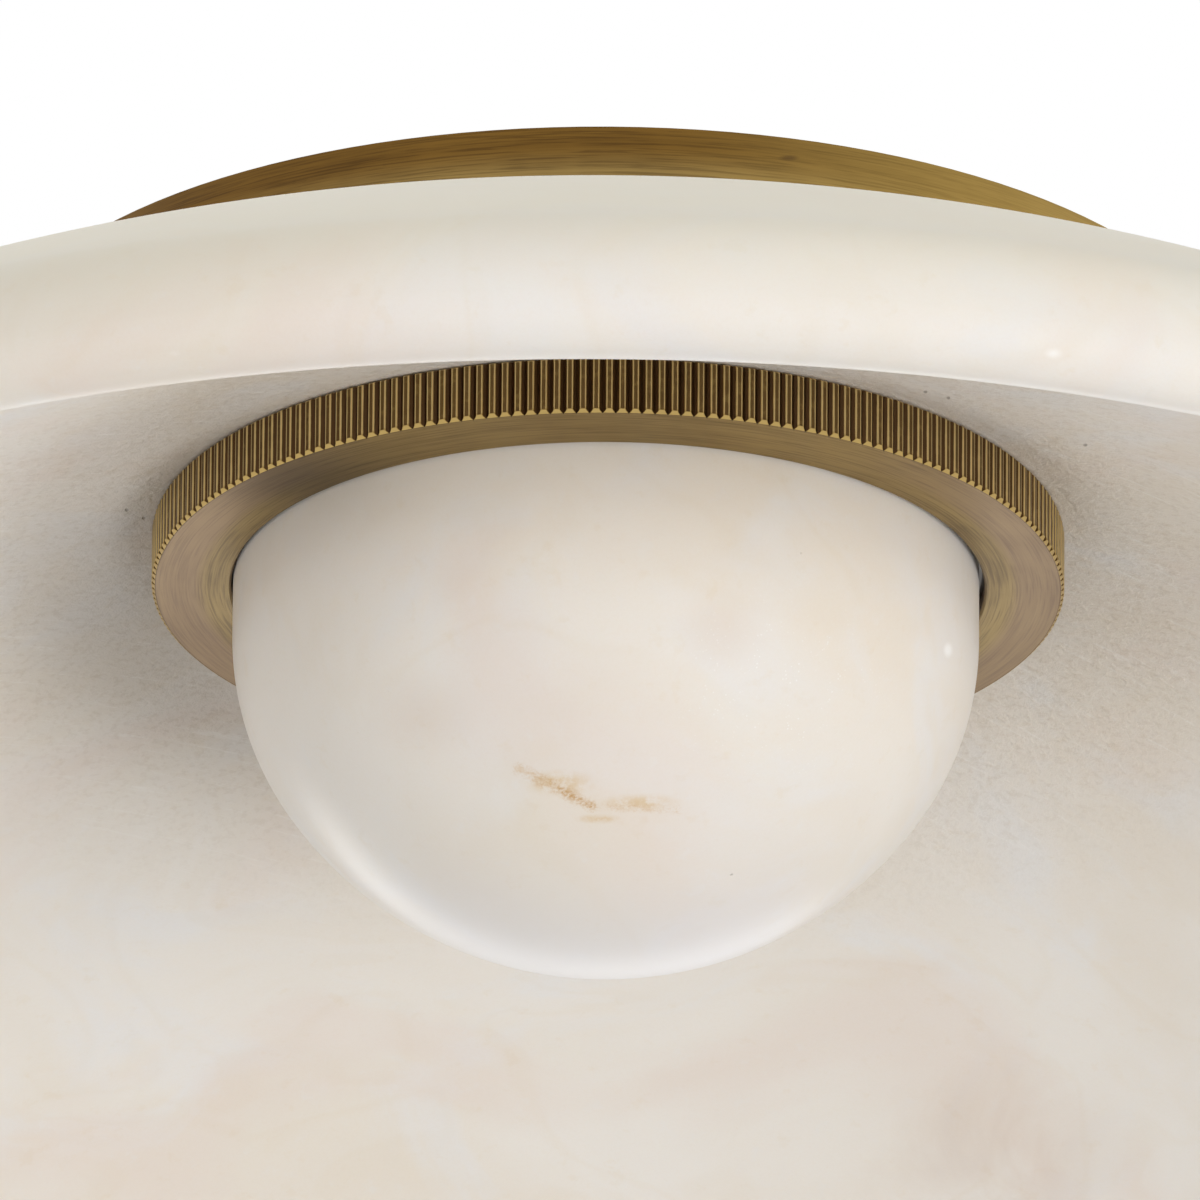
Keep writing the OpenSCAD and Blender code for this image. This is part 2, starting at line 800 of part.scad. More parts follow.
module ground_wire() {
    way = on_circle(1, lug_angle);
    lug = concat(lug_at, z_plate_top + barrel_r);
    color("#4f9a55")
        wire([
            in_pole(-1), at_pole(-1, 1), at_pole(-1, 3) + [-1, 0, 0.4],
            lug + (lug_reach + 3) * concat(way, 0) + [0, 0, 0.4],
            lug + lug_reach * concat(way, 0), lug + (lug_r + 1.5) * concat(way, 0)
        ], supply_wire_d);
}

// Supply wire from a pole, over the nipple's mouth and down through it to the driver
module supply_wire(pole, side, drop) {
    over = side * pair_x;
    wire(concat(
        [
            in_pole(pole), at_pole(pole, 1),
            [(pole * pole_pitch + 2 * over) / 2, terminal_in_y - 8, (pole_z + 2 * z_over) / 3],
            [over, top_bend + 2.5, z_over], [over, bend_inset, z_over - bend_inset],
            [over, 0, z_over - top_bend], [over, 0, z_under + 2], [over, 0, z_under]
        ],
        drop
    ), supply_wire_d);
}

// The last straight stretch of a wire, through the driver's wall and up to its header
function into_driver(x) = [
    [x, driver_front + 3.5, z_driver_wire], [x, driver_front, z_driver_wire],
    [x, header_y + face_gap, z_driver_wire]
];

module line_wire() {
    color("#1c1c1c")
        supply_wire(0, -1, concat([
            [-pair_x - 1, 1, z_under - 3.5],
            [line_x / 2 - 2, 2, z_driver_wire + 3.4],
            [line_x, driver_front + 6.5, z_driver_wire + 0.4]
        ], into_driver(line_x)));
}

module neutral_wire() {
    color("#e8e8e4")
        supply_wire(1, 1, concat([
            [pair_x, 1.8, z_under - 3.5],
            [-0.5, 6, z_driver_wire + 3.4],
            [neutral_x + 2, 5.5, z_driver_wire + 0.8],
            [neutral_x, driver_front + 7, z_driver_wire]
        ], into_driver(neutral_x)));
}

// Board wire from the driver, down through the grommet and into the connector
module led_wire(from_x, side, bow) {
    x = side * led_pair_x;
    z = z_driver_wire;
    wire(concat(
        [[from_x, header_y + face_gap, z], [from_x, driver_front, z]],
        [[from_x, driver_front + 3, z], bow],
        [
            [x, 0, z_sink_top + 1.5], [x, 0, z_sink_low], [x, 0, z_board_low + 0.5],
            [x, 0.8, z_connector_wire + 0.6], [x, 3, z_connector_wire],
            [x, connector_y + 1.5, z_connector_wire]
        ]
    ), led_wire_d);
}

module led_wire_positive() {
    color("#b03028")
        led_wire(led_plus_x, 1, [4, -1, z_driver_wire - 2.2]);
}

module led_wire_negative() {
    color("#26262a")
        led_wire(led_minus_x, -1, [4, 3.6, z_driver_wire - 2.2]);
}

module standoffs() {
    color("#c6c8ca")
        for (angle = standoff_angles)
            translate(concat(on_circle(standoff_ring_r, angle), z_sink_top))
                difference() {
                    union() {
                        cylinder(d = standoff_d, h = standoff_l, $fn = 6);
                        cylinder(d = stud_d, h = standoff_l + gallery_t - face_gap);
                    }
                    translate([0, 0, -past])
                        cylinder(r = small_screw_d / 2 + tap_clear, h = standoff_hole_l + past);
                }
}

module heat_sink() {
    bevel = 0.5;
    color("#b9bcc0")
        difference() {
            rotate_extrude()
                polygon([
                    [grommet_r, z_sink_low], [sink_r - bevel, z_sink_low],
                    [sink_r, z_sink_low + bevel], [sink_r, z_sink_top - bevel],
                    [sink_r - bevel, z_sink_top], [grommet_r, z_sink_top]
                ]);
            for (angle = standoff_angles)
                drill(on_circle(standoff_ring_r, angle), small_screw_d / 2 + free_clear,
                    z_sink_low, z_sink_top);
            for (angle = board_screw_angles)
                drill(on_circle(board_screw_r, angle), small_screw_d / 2 + tap_clear,
                    z_sink_low, z_sink_top);
            for (side = [-1, 1])
                drill([side * tab_hole_x, driver_y], small_screw_d / 2 + tap_clear,
                    z_sink_low, z_sink_top);
        }
}

module sink_screws() {
    color(steel)
        for (angle = standoff_angles)
            translate(concat(on_circle(standoff_ring_r, angle), z_sink_low))
                rotate([180, 0, 0])
                    slotted_screw(small_head_d, small_head_t, small_screw_d,
                        sink_t + standoff_hole_l - screw_end_gap);
}

module board_screws() {
    color(steel)
        for (angle = board_screw_angles)
            translate(concat(on_circle(board_screw_r, angle), z_board_low))
                rotate([180, 0, 0])
                    slotted_screw(small_head_d, small_head_t, small_screw_d,
                        board_t + pad_t + sink_t - screw_end_gap);
}

module sink_grommet() {
    color("#2b2b2b")
        rotate_extrude()
            polygon([
                [grommet_bore_r, z_sink_low - grommet_lip_t],
                [grommet_lip_r, z_sink_low - grommet_lip_t], [grommet_lip_r, z_sink_low],
                [grommet_r - free_clear, z_sink_low], [grommet_r - free_clear, z_sink_top],
                [grommet_lip_r, z_sink_top], [grommet_lip_r, z_sink_top + grommet_lip_t],
                [grommet_bore_r, z_sink_top + grommet_lip_t]
            ]);
}

// A box centred in plan on the driver, from height z0
module driver_block(size, z0) {
    translate([-size[0] / 2, driver_y - size[1] / 2, z0])
        cube(size);
}

module driver_case() {
    inside = [driver_l - 2 * driver_wall, driver_w - 2 * driver_wall, driver_h];
    color("#3a3b3d")
        difference() {
            union() {
                difference() {
                    driver_block(driver_size, z_sink_top);
                    driver_block(inside, z_sink_top + driver_wall);
                }
                for (side = [-1, 1])
                    translate([side * rib_x - rib_w / 2, driver_y - inside[1] / 2, z_sink_top])
                        cube([rib_w, inside[1], driver_wall + rib_h]);
                for (side = [0, 180])
                    translate([0, driver_y, z_sink_top])
                        rotate([0, 0, side])
                            translate([driver_l / 2 - driver_wall, -tab_w / 2, 0])
                                cube([tab_l + driver_wall, tab_w, tab_t]);
            }
            for (side = [-1, 1])
                drill([side * tab_hole_x, driver_y], small_screw_d / 2 + free_clear,
                    z_sink_top, z_sink_top + tab_t);
            for (entry = [
                [line_x, supply_wire_d], [neutral_x, supply_wire_d],
                [led_plus_x, led_wire_d], [led_minus_x, led_wire_d]
            ])
                translate([entry[0], driver_front - driver_wall - past, z_driver_wire])
                    rotate([-90, 0, 0])
                        cylinder(r = entry[1] / 2 + 2 * free_clear, h = driver_wall + 2 * past);
        }
}

module driver_board() {
    header_l = led_minus_x - line_x + 2 * header_margin;
    color("#2f6b46")
        driver_block(circuit_size, z_circuit);
    color("#d8c46a")
        translate([coil_at[0] - coil_size[0] / 2, driver_y + coil_at[1] - coil_size[1] / 2,
            z_circuit_top])
            cube(coil_size);
    color("#22303a")
        for (x = capacitor_xs)
            translate([x, driver_y + capacitor_y, z_circuit_top])
                cylinder(d = capacitor_d, h = capacitor_h);
    color("#e8e8e4")
        translate([line_x - header_margin, header_y - header_w, z_circuit_top])
            cube([header_l, header_w, header_h]);
}

module driver_lid() {
    gap = 2 * (driver_wall + lid_clear);
    color("#3a3b3d") {
        driver_block([driver_l, driver_w, driver_wall], z_driver_top);
        driver_block([driver_l - gap, driver_w - gap, lid_step],
            z_driver_top - lid_step);
    }
}

module driver_screws() {
    color(steel)
        for (side = [-1, 1])
            translate([side * tab_hole_x, driver_y, z_sink_top + tab_t])
                slotted_screw(small_head_d, small_head_t, small_screw_d,
                    tab_t + sink_t - screw_end_gap);
}

module thermal_pad() {
    color("#9fb3c4")
        difference() {
            flat_ring(board_r - pad_margin, board_hole_r, z_board_top, z_sink_low);
            for (angle = board_screw_angles)
                drill(on_circle(board_screw_r, angle), small_screw_d / 2 + free_clear,
                    z_board_top, z_sink_low);
        }
}

module led_board() {
    color("#f2f2ee")
        difference() {
            flat_ring(board_r, board_hole_r, z_board_low, z_board_top);
            for (angle = board_screw_angles)
                drill(on_circle(board_screw_r, angle), small_screw_d / 2 + free_clear,
                    z_board_low, z_board_top);
        }
}

module led_chips() {
    color("#f3d36b")
        for (i = [0 : chip_count - 1])
            rotate([0, 0, 360 * i / chip_count])
                translate([chip_ring_r - chip_size[1] / 2, -chip_size[0] / 2,
                    z_board_low - chip_size[2]])
                    cube([chip_size[1], chip_size[0], chip_size[2]]);
}

module led_connector() {
    color("#f5f5f0")
        difference() {
            translate([-connector_size[0] / 2, connector_y, z_board_low - connector_size[2]])
                cube(connector_size);
            for (side = [-1, 1])
                translate([side * led_pair_x, connector_y - past, z_connector_wire])
                    rotate([-90, 0, 0])
                        cylinder(r = led_wire_d / 2 + free_clear, h = connector_hole_l + past);
        }
}

module dome_gasket() {
    color("#e4e1d8")
        flat_ring(flange_r - dome_gasket_margin, dome_r - dome_gasket_reach, z_flange_top,
            z_gallery_under);
}

// Half of the dome's section as one filled shape, drawn in by an inset all round: a crown on
// the axis, a tighter shoulder that it touches, and a straight wall up to height z1
module dome_section(inset, z1) {
    way = on_circle(2 * crown_r, crown_angle);
    intersection() {
        union() {
            translate([0, z_crown])
                intersection() {
                    circle(crown_r - inset);
                    polygon([[0, 0], [0, -2 * crown_r], [way[0], -2 * crown_r], way]);
                }
            translate([shoulder_x, z_shoulder])
                circle(shoulder_r - inset);
            translate([0, z_shoulder])
                square([dome_r - inset, z1 - z_shoulder]);
        }
        translate([0, z_dome_low])
            square([dome_r, z1 - z_dome_low]);
    }
}

module alabaster_dome() {
    color(stone)
        rotate_extrude()
            difference() {
                union() {
                    dome_section(0, z_flange_top);
                    translate([0, z_flange_low])
                        square([flange_r, z_flange_top - z_flange_low]);
                }
                dome_section(dome_wall, z_flange_top + past);
            }
}

module slip_washer() {
    color("#8c6a4a")
        flat_ring(flange_r, ring_bore_r + slip_margin, z_ring_lip, z_flange_low);
}

// Outline of the teeth: a flat top, a sloped flank, a groove and the next flank, all round
function tooth_outline() = [
    for (i = [0 : tooth_count - 1])
        let (half = tooth_share / 2)
        for (corner = [
            [ring_r, -half], [ring_r, half],
            [groove_r, half + flank_share], [groove_r, 1 - half - flank_share]
        ])
            on_circle(corner[0], (i + corner[1]) * pitch_angle)
];

module knurled_ring() {
    bore_bevel = 0.4;
    color(brass)
        intersection() {
            translate([0, 0, z_ring_low])
                linear_extrude(ring_h)
                    polygon(tooth_outline());
            rotate_extrude()
                polygon([
                    [ring_bore_r + bore_bevel, z_ring_low],
                    [ring_r - ring_chamfer, z_ring_low],
                    [ring_r + past, z_ring_low + ring_chamfer + past],
                    [ring_r + past, z_ring_top - ring_top_chamfer - past],
                    [ring_r - ring_top_chamfer, z_ring_top],
                    [thread_r + thread_clear, z_ring_top],
                    [thread_r + thread_clear, z_ring_lip],
                    [ring_bore_r, z_ring_lip],
                    [ring_bore_r, z_ring_low + bore_bevel]
                ]);
        }
}

ceiling_canopy();
mounting_bracket();
canopy_side_screws();
reinforcing_plate();
top_gasket();
alabaster_dish();
hub_bushing();
threaded_nipple();
upper_washer();
upper_lock_nut();
lower_gasket();
gallery();
lower_washer();
lower_lock_nut();
nipple_bushings();
terminal_block();
terminal_screws();
ground_lug();
ground_screw();
bracket_ground_screw();
ground_wire();
line_wire();
neutral_wire();
standoffs();
heat_sink();
sink_screws();
sink_grommet();
driver_case();
driver_board();
driver_lid();
driver_screws();
thermal_pad();
led_board();
led_chips();
led_connector();
board_screws();
led_wire_positive();
led_wire_negative();
dome_gasket();
alabaster_dome();
slip_washer();
knurled_ring();
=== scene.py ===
"""Looks of the flush mount ceiling light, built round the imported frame.

The canopy, the hardware and the light source keep the frame's own meshes and get their finishes
here. The alabaster dish, the alabaster dome and the coin-edged brass ring are drawn again in finer
steps, the ring with each tooth cut on its own. Lengths are in metres, and the ceiling is z = 0.
"""

import math

import bpy
import numpy as np
from bpy.props import FloatProperty, FloatVectorProperty, IntProperty, PointerProperty
from mathutils import Matrix, Vector


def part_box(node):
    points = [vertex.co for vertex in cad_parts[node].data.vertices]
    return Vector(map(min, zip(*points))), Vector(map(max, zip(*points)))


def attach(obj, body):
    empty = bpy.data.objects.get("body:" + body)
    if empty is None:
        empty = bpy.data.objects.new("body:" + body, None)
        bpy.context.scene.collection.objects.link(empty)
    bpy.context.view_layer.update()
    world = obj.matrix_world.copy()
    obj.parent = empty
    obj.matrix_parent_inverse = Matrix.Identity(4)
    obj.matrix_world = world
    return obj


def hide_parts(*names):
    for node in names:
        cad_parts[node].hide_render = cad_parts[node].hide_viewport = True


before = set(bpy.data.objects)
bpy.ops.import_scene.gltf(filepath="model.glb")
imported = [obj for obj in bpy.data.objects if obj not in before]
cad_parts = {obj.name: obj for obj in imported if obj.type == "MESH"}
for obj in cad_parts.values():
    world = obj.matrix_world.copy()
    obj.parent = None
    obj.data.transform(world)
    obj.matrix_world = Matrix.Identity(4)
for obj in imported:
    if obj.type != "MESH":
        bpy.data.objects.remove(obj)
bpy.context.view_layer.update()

bl_info = {
    "name": "Flush Mount Ceiling Light",
    "version": (1, 0, 0),
    "blender": (4, 5, 0),
    "location": "View3D > Sidebar > Ceiling Light",
    "description": "Builds the looks of an alabaster and brass ceiling light",
    "category": "Object",
}

MM = 0.001

# How far a redrawn piece may be off its node's size, and the least angle of a sharp edge.
SIZE_LIMIT = 0.35 * MM
SHARP_ANGLE = math.radians(28)

# Steps round the axis, and what joins and smooths the wires.
DISH_STEPS, DOME_STEPS = 360, 256
WELD_REACH = 0.01 * MM
WIRE_SMOOTHING = 2

# Marks in the picture, in pixels of its 1200 x 1200. A patch has the middle of an oval, its half
# width and its half height. A stroke has the two ends of a line and its half width.
PICTURE_SIDE = 1200
RING_DARK_REFLECTION_PATCH = (305, 478, 150, 52)
CANOPY_BLOTCH = (789, 158, 13, 4)
DISH_BLUSH = (985, 1150, 190, 120)
DISH_HOLES = (
    (127, 510, 2.6, 2.2),
    (144, 518, 2.2, 1.9),
    (925, 392, 2.4, 1.9),
    (948, 398, 2.6, 1.9),
    (1085, 445, 2.4, 1.9),
)
# The two glints are painted highlights on the dish's lip.
RIGHT_GLINT = (1053, 354, 12, 7)
LEFT_GLINT = (174, 354, 9, 5)
VEIN_HALOS = ((560, 783, 46, 16), (640, 803, 50, 11), (598, 819, 28, 6))
VEIN_SLANT = ((519, 769), (592, 806), 12)
VEIN_LEVEL = ((592, 806), (678, 810), 9)
VEIN_HEM = ((574, 816), (606, 820), 8)
VEIN_HEART = ((560, 790), (593, 807), 5.5)
DOME_BLUSHES = ((425, 715, 70, 60), (720, 630, 60, 55))
# The crystal field is a painted highlight on the dome.
CRYSTAL_FIELD = (780, 690, 150, 130)
BRIGHT_FLECK = (948, 650, 6, 10)
SPARKLING_RIM = (((300, 805), (372, 895), 24), ((372, 895), (480, 958), 20))

# Ranges over which a finish changes, in metres, from where a change starts to where it is full.
# Walls, heights and edges count along z, left, right and sides along x, back and front along y.
# A reach is a distance from the axis. The hollow's centre is the one that its curve turns round.
CANOPY_UPPER_WALL = (-0.0105, -0.003)
CANOPY_WALL = (-0.0165, -0.0155)
CANOPY_LOWER_WALL = (-0.016, -0.014)
CANOPY_MIDDLE_TO_RIGHT = (0.01, 0.075)
CANOPY_RIGHT = (0.0, 0.08)
RING_HEIGHT = (-0.03, -0.036)
RING_LOW_EDGE = (-0.0376, -0.0382)
RING_SIDES = (0.035, 0.066)
RING_LEFT = (-0.025, -0.06)
RING_FACE_REACH = (0.0655, 0.0685)
HOLLOW_CENTRE_DEPTH = 0.398
HOLLOW_FROM_CENTRE = (0.389, 0.386)
HOLLOW_BACK = (0.0, 0.05)
WORKED_AND_SHADED_REACH = (0.15, 0.09)
RING_SHADOW_LEFT = (-0.03, -0.08)
RING_SHADOW_REACH = (0.122, 0.088)
DISH_LEFT = (-0.08, -0.17)
DISH_OUTSIDE_HEIGHT = (-0.09, -0.058)
DISH_BACK_TO_FRONT = (0.1, -0.12)
GLINT_REACH = (0.215, 0.218)
GLINT_FRONT = (0.0, -0.05)
SEAT_REACH = (0.0613, 0.0616)
SEAT_HEIGHT = (-0.0372, -0.0362)
# Where the dome's lowest part gets its painted reflection.
FOOT_HEIGHT = (-0.088, -0.1)
FOOT_BACK = (-0.035, 0.01)

# The same, counted along the picture's own depth, from the middle of the ring.
RING_TURNED_FORWARD = (0.0, -0.02)
DOME_TURNED_FORWARD = (0.0, -0.01)

# How far the clouds of each stone are moved, so that they differ.
DISH_CLOUDS, DOME_CLOUDS = 3.1, 7.4

# The threads that the plain brass shows, in metres.
SKIRT_RADIUS, SKIRT_PITCH = 0.07, 0.002
NIPPLE_RADIUS, NIPPLE_PITCH = 0.0066, 0.00094
THREAD_REACH = (0.0004, 0.0002)

# Where each lamp stands and how wide and high it is, in metres, and whether polished faces
# mirror it. All of them are turned to one place in the middle of the light.
LAMPS = {
    "key": ((1.91, -2.12, -1.5), (1.9, 1.9), False),
    "fill": ((-0.77, -2.12, 1.25), (2.0, 2.0), False),
    "side": ((-2.2, -0.4, -2.1), (1.6, 1.6), False),
    "rim": ((-0.4, 2.3, -0.3), (2.4, 0.8), True),
}
LAMP_AIM = (0.0, 0.0, -0.05)
FLOOR_HALF = 30.0
FLOOR_GLOW = 0.6
CAMERA_RANGE = (0.1, 200.0)


def linear(red, green, blue):
    """A colour as it looks, 0 to 255 a channel, turned into the linear light that shaders use."""
    shares = (value / 255 for value in (red, green, blue))
    return tuple(s / 12.92 if s <= 0.04045 else ((s + 0.055) / 1.055) ** 2.4 for s in shares)


def length(name, millimetres, description):
    """A length that is given in millimetres and kept in metres."""
    return FloatProperty(
        name=name,
        description=description,
        default=millimetres * MM,
        min=0.0,
        precision=4,
        unit="LENGTH",
        subtype="DISTANCE",
    )


def colour(name, looks, description):
    """A colour that is given as it looks and kept as linear light."""
    return FloatVectorProperty(
        name=name,
        description=description,
        default=linear(*looks),
        size=3,
        min=0.0,
        max=1.0,
        subtype="COLOR",
    )


def pitch_share(name, part, low, high, description):
    """A share of the pitch of the teeth, between two limits."""
    return FloatProperty(
        name=name, description=description, default=part, min=low, max=high, subtype="FACTOR"
    )


def tilt(name, degrees, description):
    """A tilt that is given in degrees and kept in radians."""
    return FloatProperty(
        name=name,
        description=description,
        default=math.radians(degrees),
        unit="ROTATION",
        subtype="ANGLE",
    )


def power(name, watts, description):
    """The power of a lamp."""
    return FloatProperty(
        name=name, description=description, default=watts, min=0.0, unit="POWER"
    )


class DishSizes(bpy.types.PropertyGroup):
    radius: length("Radius", 228.5, "Outside radius of the dish")
    land_radius: length("Land Radius", 110.5, "Radius of the flat land under the canopy")
    land_depth: length("Land Depth", 16.0, "Depth of the land below the ceiling")
    hub_depth: length("Hub Depth", 28.8, "Depth of the hub's underside below the ceiling")
    hub_radius: length("Hub Radius", 75.5, "Radius of the flat underside of the hub")
    hole_radius: length("Hole Radius", 10.0, "Radius of the hole through the hub")
    edge_depth: length("Edge Depth", 83.0, "Depth of the widest part of the dish")
    edge_round: length("Edge Rounding", 20.5, "Radius of the dish's outside edge")
    lip_round: length("Lip Rounding", 8.0, "Radius of the lip, half of its thickness")


class DomeSizes(bpy.types.PropertyGroup):
    radius: length("Radius", 61.3, "Outside radius of the dome's straight wall")
    wall: length("Wall", 6.0, "Thickness of the dome's wall")
    flange_radius: length("Flange Radius", 66.6, "Radius of the flange inside the ring")
    flange_top: length("Flange Top", 32.3, "Depth of the flange's top below the ceiling")
    flange_low: length("Flange Underside", 35.3, "Depth of the flange's underside")
    shoulder_depth: length("Shoulder Depth", 47.4, "Depth at which the shoulder starts")
    shoulder_round: length("Shoulder Rounding", 48.0, "Radius of the shoulder")
    lowest: length("Lowest Point", 102.5, "Depth of the dome's lowest point")
    seat_play: length("Seat Play", 0.3, "How far to the left the dome sits in its ring")


class RingSizes(bpy.types.PropertyGroup):
    radius: length("Radius", 75.0, "Radius over the teeth")
    top: length("Top", 29.1, "Depth of the ring's top face below the ceiling")
    underside: length("Underside", 38.6, "Depth of the ring's bottom face")
    lip_top: length("Lip Top", 36.1, "Depth of the top of the lip that carries the dome")
    bore_radius: length("Bore Radius", 61.9, "Radius of the bore round the dome")
    bore_bevel: length("Bore Bevel", 0.4, "Bevel between bore and bottom face")
    thread_radius: length("Thread Radius", 70.1, "Radius of the thread inside the ring")
    low_chamfer: length("Bottom Chamfer", 0.5, "Chamfer of the teeth at the bottom face")
    top_chamfer: length("Top Chamfer", 0.35, "Chamfer of the teeth at the top face")
    tooth_depth: length("Tooth Depth", 0.6, "Depth of the grooves between the teeth")
    teeth: IntProperty(
        name="Teeth", description="Number of teeth round the ring", default=220, min=3
    )
    tooth_share: pitch_share("Tooth Share", 0.47, 0.1, 0.9, "Share that the top of a tooth takes")
    flank_share: pitch_share("Flank Share", 0.07, 0.01, 0.3, "Share that one sloped flank takes")


class BrassColours(bpy.types.PropertyGroup):
    gold: colour("Gold", (166, 140, 83), "Clean brass where the brown has been brushed off")
    umber: colour("Umber", (120, 96, 53), "Brown of the antique finish on open faces")
    shade: colour("Shade", (84, 62, 36), "Darkest brown of the brushed faces")
    groove: colour("Groove", (104, 78, 50), "Brown left in the ring's grooves")
    tooth: colour("Tooth", (122, 97, 58), "Brown on the tops of the teeth")
    # Darkens the tops of the teeth towards the left.
    left_teeth_tint: colour("Weathered", (196, 190, 184), "Tint of the duller teeth at the left")
    # Worn brass along the teeth, lifted by painted highlight.
    worn_and_lit_tooth_edge: colour("Tooth Edge", (246, 220, 156), "Bright brass along the teeth")
    worn: colour("Worn End", (206, 176, 108), "Bright brass at the lower ends of the teeth")
    # Painted reflection of the stone on the left and right of the ring's face.
    painted_side_reflection: colour("Handled", (152, 124, 104), "Ring's face where hands turn it")
    # Painted dark reflection on the front left of the ring's face.
    painted_dark_reflection: colour("Dulled", (168, 165, 175), "Tint of the dull patch on the ring's left")
    # Painted shade on the canopy's upper wall and painted light on its right side.
    painted_canopy_shade: colour("Canopy Shade", (190, 167, 123), "Tint of the canopy's upper wall")
    canopy_light: colour("Canopy Light", (192, 158, 76), "Lighter right side of the canopy")
    turned: colour("Turned Brass", (205, 172, 98), "Plain brass of the parts inside")


class StoneColours(bpy.types.PropertyGroup):
    cream: colour("Cream", (238, 232, 224), "Main colour of the alabaster")
    beige: colour("Beige", (234, 225, 212), "Warm clouds in the alabaster")
    rose: colour("Rose", (233, 219, 208), "Pink clouds in the alabaster")
    cool: colour("Cool White", (235, 232, 229), "Cool, denser clouds in the alabaster")
    rust: colour("Rust", (230, 200, 150), "Iron stain in the dome's vein")
    halo: colour("Halo", (240, 220, 180), "Pale stain round the dome's vein")
    ochre: colour("Ochre", (240, 224, 190), "Thin veils and warm flecks")
    speck: colour("Speck", (150, 134, 118), "Small dark grains and pits")
    # Crystal white is used for a real white fleck and for painted highlights: the dish's glints
    # and the dome's sparkle.
    crystal: colour("Crystal", (255, 254, 252), "Crystals that catch the light")
    # Painted light on the dish's left.
    painted_left_light: colour("Bleached", (246, 243, 238), "Paler stone at the dish's left")
    # Painted warm light on the dish's outside.
    crown: colour("Crown", (255, 246, 221), "Warmer stone on the dish's outside")
    score: colour("Score", (252, 250, 246), "Scratches in the hollow round the ring")
    # Rougher stone and painted shade round the ring.
    worked_and_shaded: colour("Worked", (226, 219, 210), "Tint of the rougher stone round the ring")
    # Painted shadow of the dome and ring on the stone at the ring's left.
    dust: colour("Dust", (226, 224, 222), "Tint of the dull stone at the ring's left")
    hole: colour("Hole", (96, 84, 74), "Small holes beside the ring")
    # Painted shade on the flange hidden in the ring.
    painted_seat_shade: colour("Seat", (96, 86, 76), "Tint of the flange hidden in the ring")
    # Painted reflection of the white below, on the dome's lowest part.
    foot: colour("Foot", (233, 230, 231), "Cooler stone at the dome's lowest part")


class FittingColours(bpy.types.PropertyGroup):
    zinc: colour("Zinc", (182, 185, 188), "Zinc plate on steel")
    aluminium: colour("Aluminium", (196, 198, 200), "Turned aluminium")
    tin: colour("Tin", (188, 190, 188), "Tin plate on copper")
    felt: colour("Felt", (138, 138, 134), "Grey felt of the top gasket")
    cork: colour("Cork", (178, 136, 92), "Cork of the lower gasket")
    nylon: colour("Nylon", (232, 228, 212), "Natural nylon of the hub bushing")
    black: colour("Black", (34, 34, 36), "Black plastic, rubber and insulation")
    ivory: colour("Ivory", (222, 214, 190), "Ivory plastic of the terminal block")
    green: colour("Green", (38, 116, 62), "Green of the ground wire and screws")
    red: colour("Red", (172, 34, 30), "Red insulation")
    white: colour("White", (228, 228, 224), "White insulation and the white board")
    circuit: colour("Circuit", (26, 84, 52), "Green of the driver's circuit board")
    pad: colour("Thermal Pad", (128, 146, 160), "Soft pad under the light board")
    phosphor: colour("Phosphor", (232, 204, 84), "Yellow face of the chips")
    silicone: colour("Silicone", (226, 226, 218), "Soft gasket on the dome's flange")
    fibre: colour("Fibre", (122, 82, 54), "Pressed fibre of the slip washer")


class StudioSizes(bpy.types.PropertyGroup):
    distance: length("Camera Distance", 5250.0, "From the camera to the middle of the ring")
    ring_pixels: FloatProperty(
        name="Ring in Pixels",
        description="Half width of the ring in a picture 1200 pixels wide",
        default=456.5,
        min=1.0,
    )
    across: FloatProperty(
        name="Across", description="Ring's middle from the picture's left edge", default=607.9
    )
    down: FloatProperty(
        name="Down", description="Ring's middle from the picture's top edge", default=590.4
    )
    rise: tilt("Rise", 22.75, "How far the camera looks up")
    roll: tilt("Roll", 0.41, "How far the picture is turned clockwise")
    floor_depth: length("Floor Depth", 2400.0, "From the ceiling to the floor")
    key: power("Key Light", 56.0, "Power of the soft light at the right")
    fill: power("Fill Light", 20.8, "Power of the weak light above the camera")
    side: power("Side Light", 15.0, "Power of the weak light at the left")
    rim: power("Rim Light", 10.5, "Power of the light behind the dome")
    ambient: FloatProperty(
        name="Ambient", description="Strength of the light from all sides", default=0.34, min=0.0
    )


class Value:
    """One output in a node tree, which takes part in sums as a number does."""

    def __init__(self, sheet, socket):
        self.sheet = sheet
        self.socket = socket

    def __add__(self, other):
        return self.sheet.math("ADD", self, other)

    __radd__ = __add__

    def __sub__(self, other):
        return self.sheet.math("SUBTRACT", self, other)

    def __rsub__(self, other):
        return self.sheet.math("SUBTRACT", other, self)

    def __mul__(self, other):
        return self.sheet.math("MULTIPLY", self, other)

    __rmul__ = __mul__

    def __truediv__(self, other):
        return self.sheet.math("DIVIDE", self, other)

    def __rtruediv__(self, other):
        return self.sheet.math("DIVIDE", other, self)

    def __abs__(self):
        return self.sheet.math("ABSOLUTE", self)


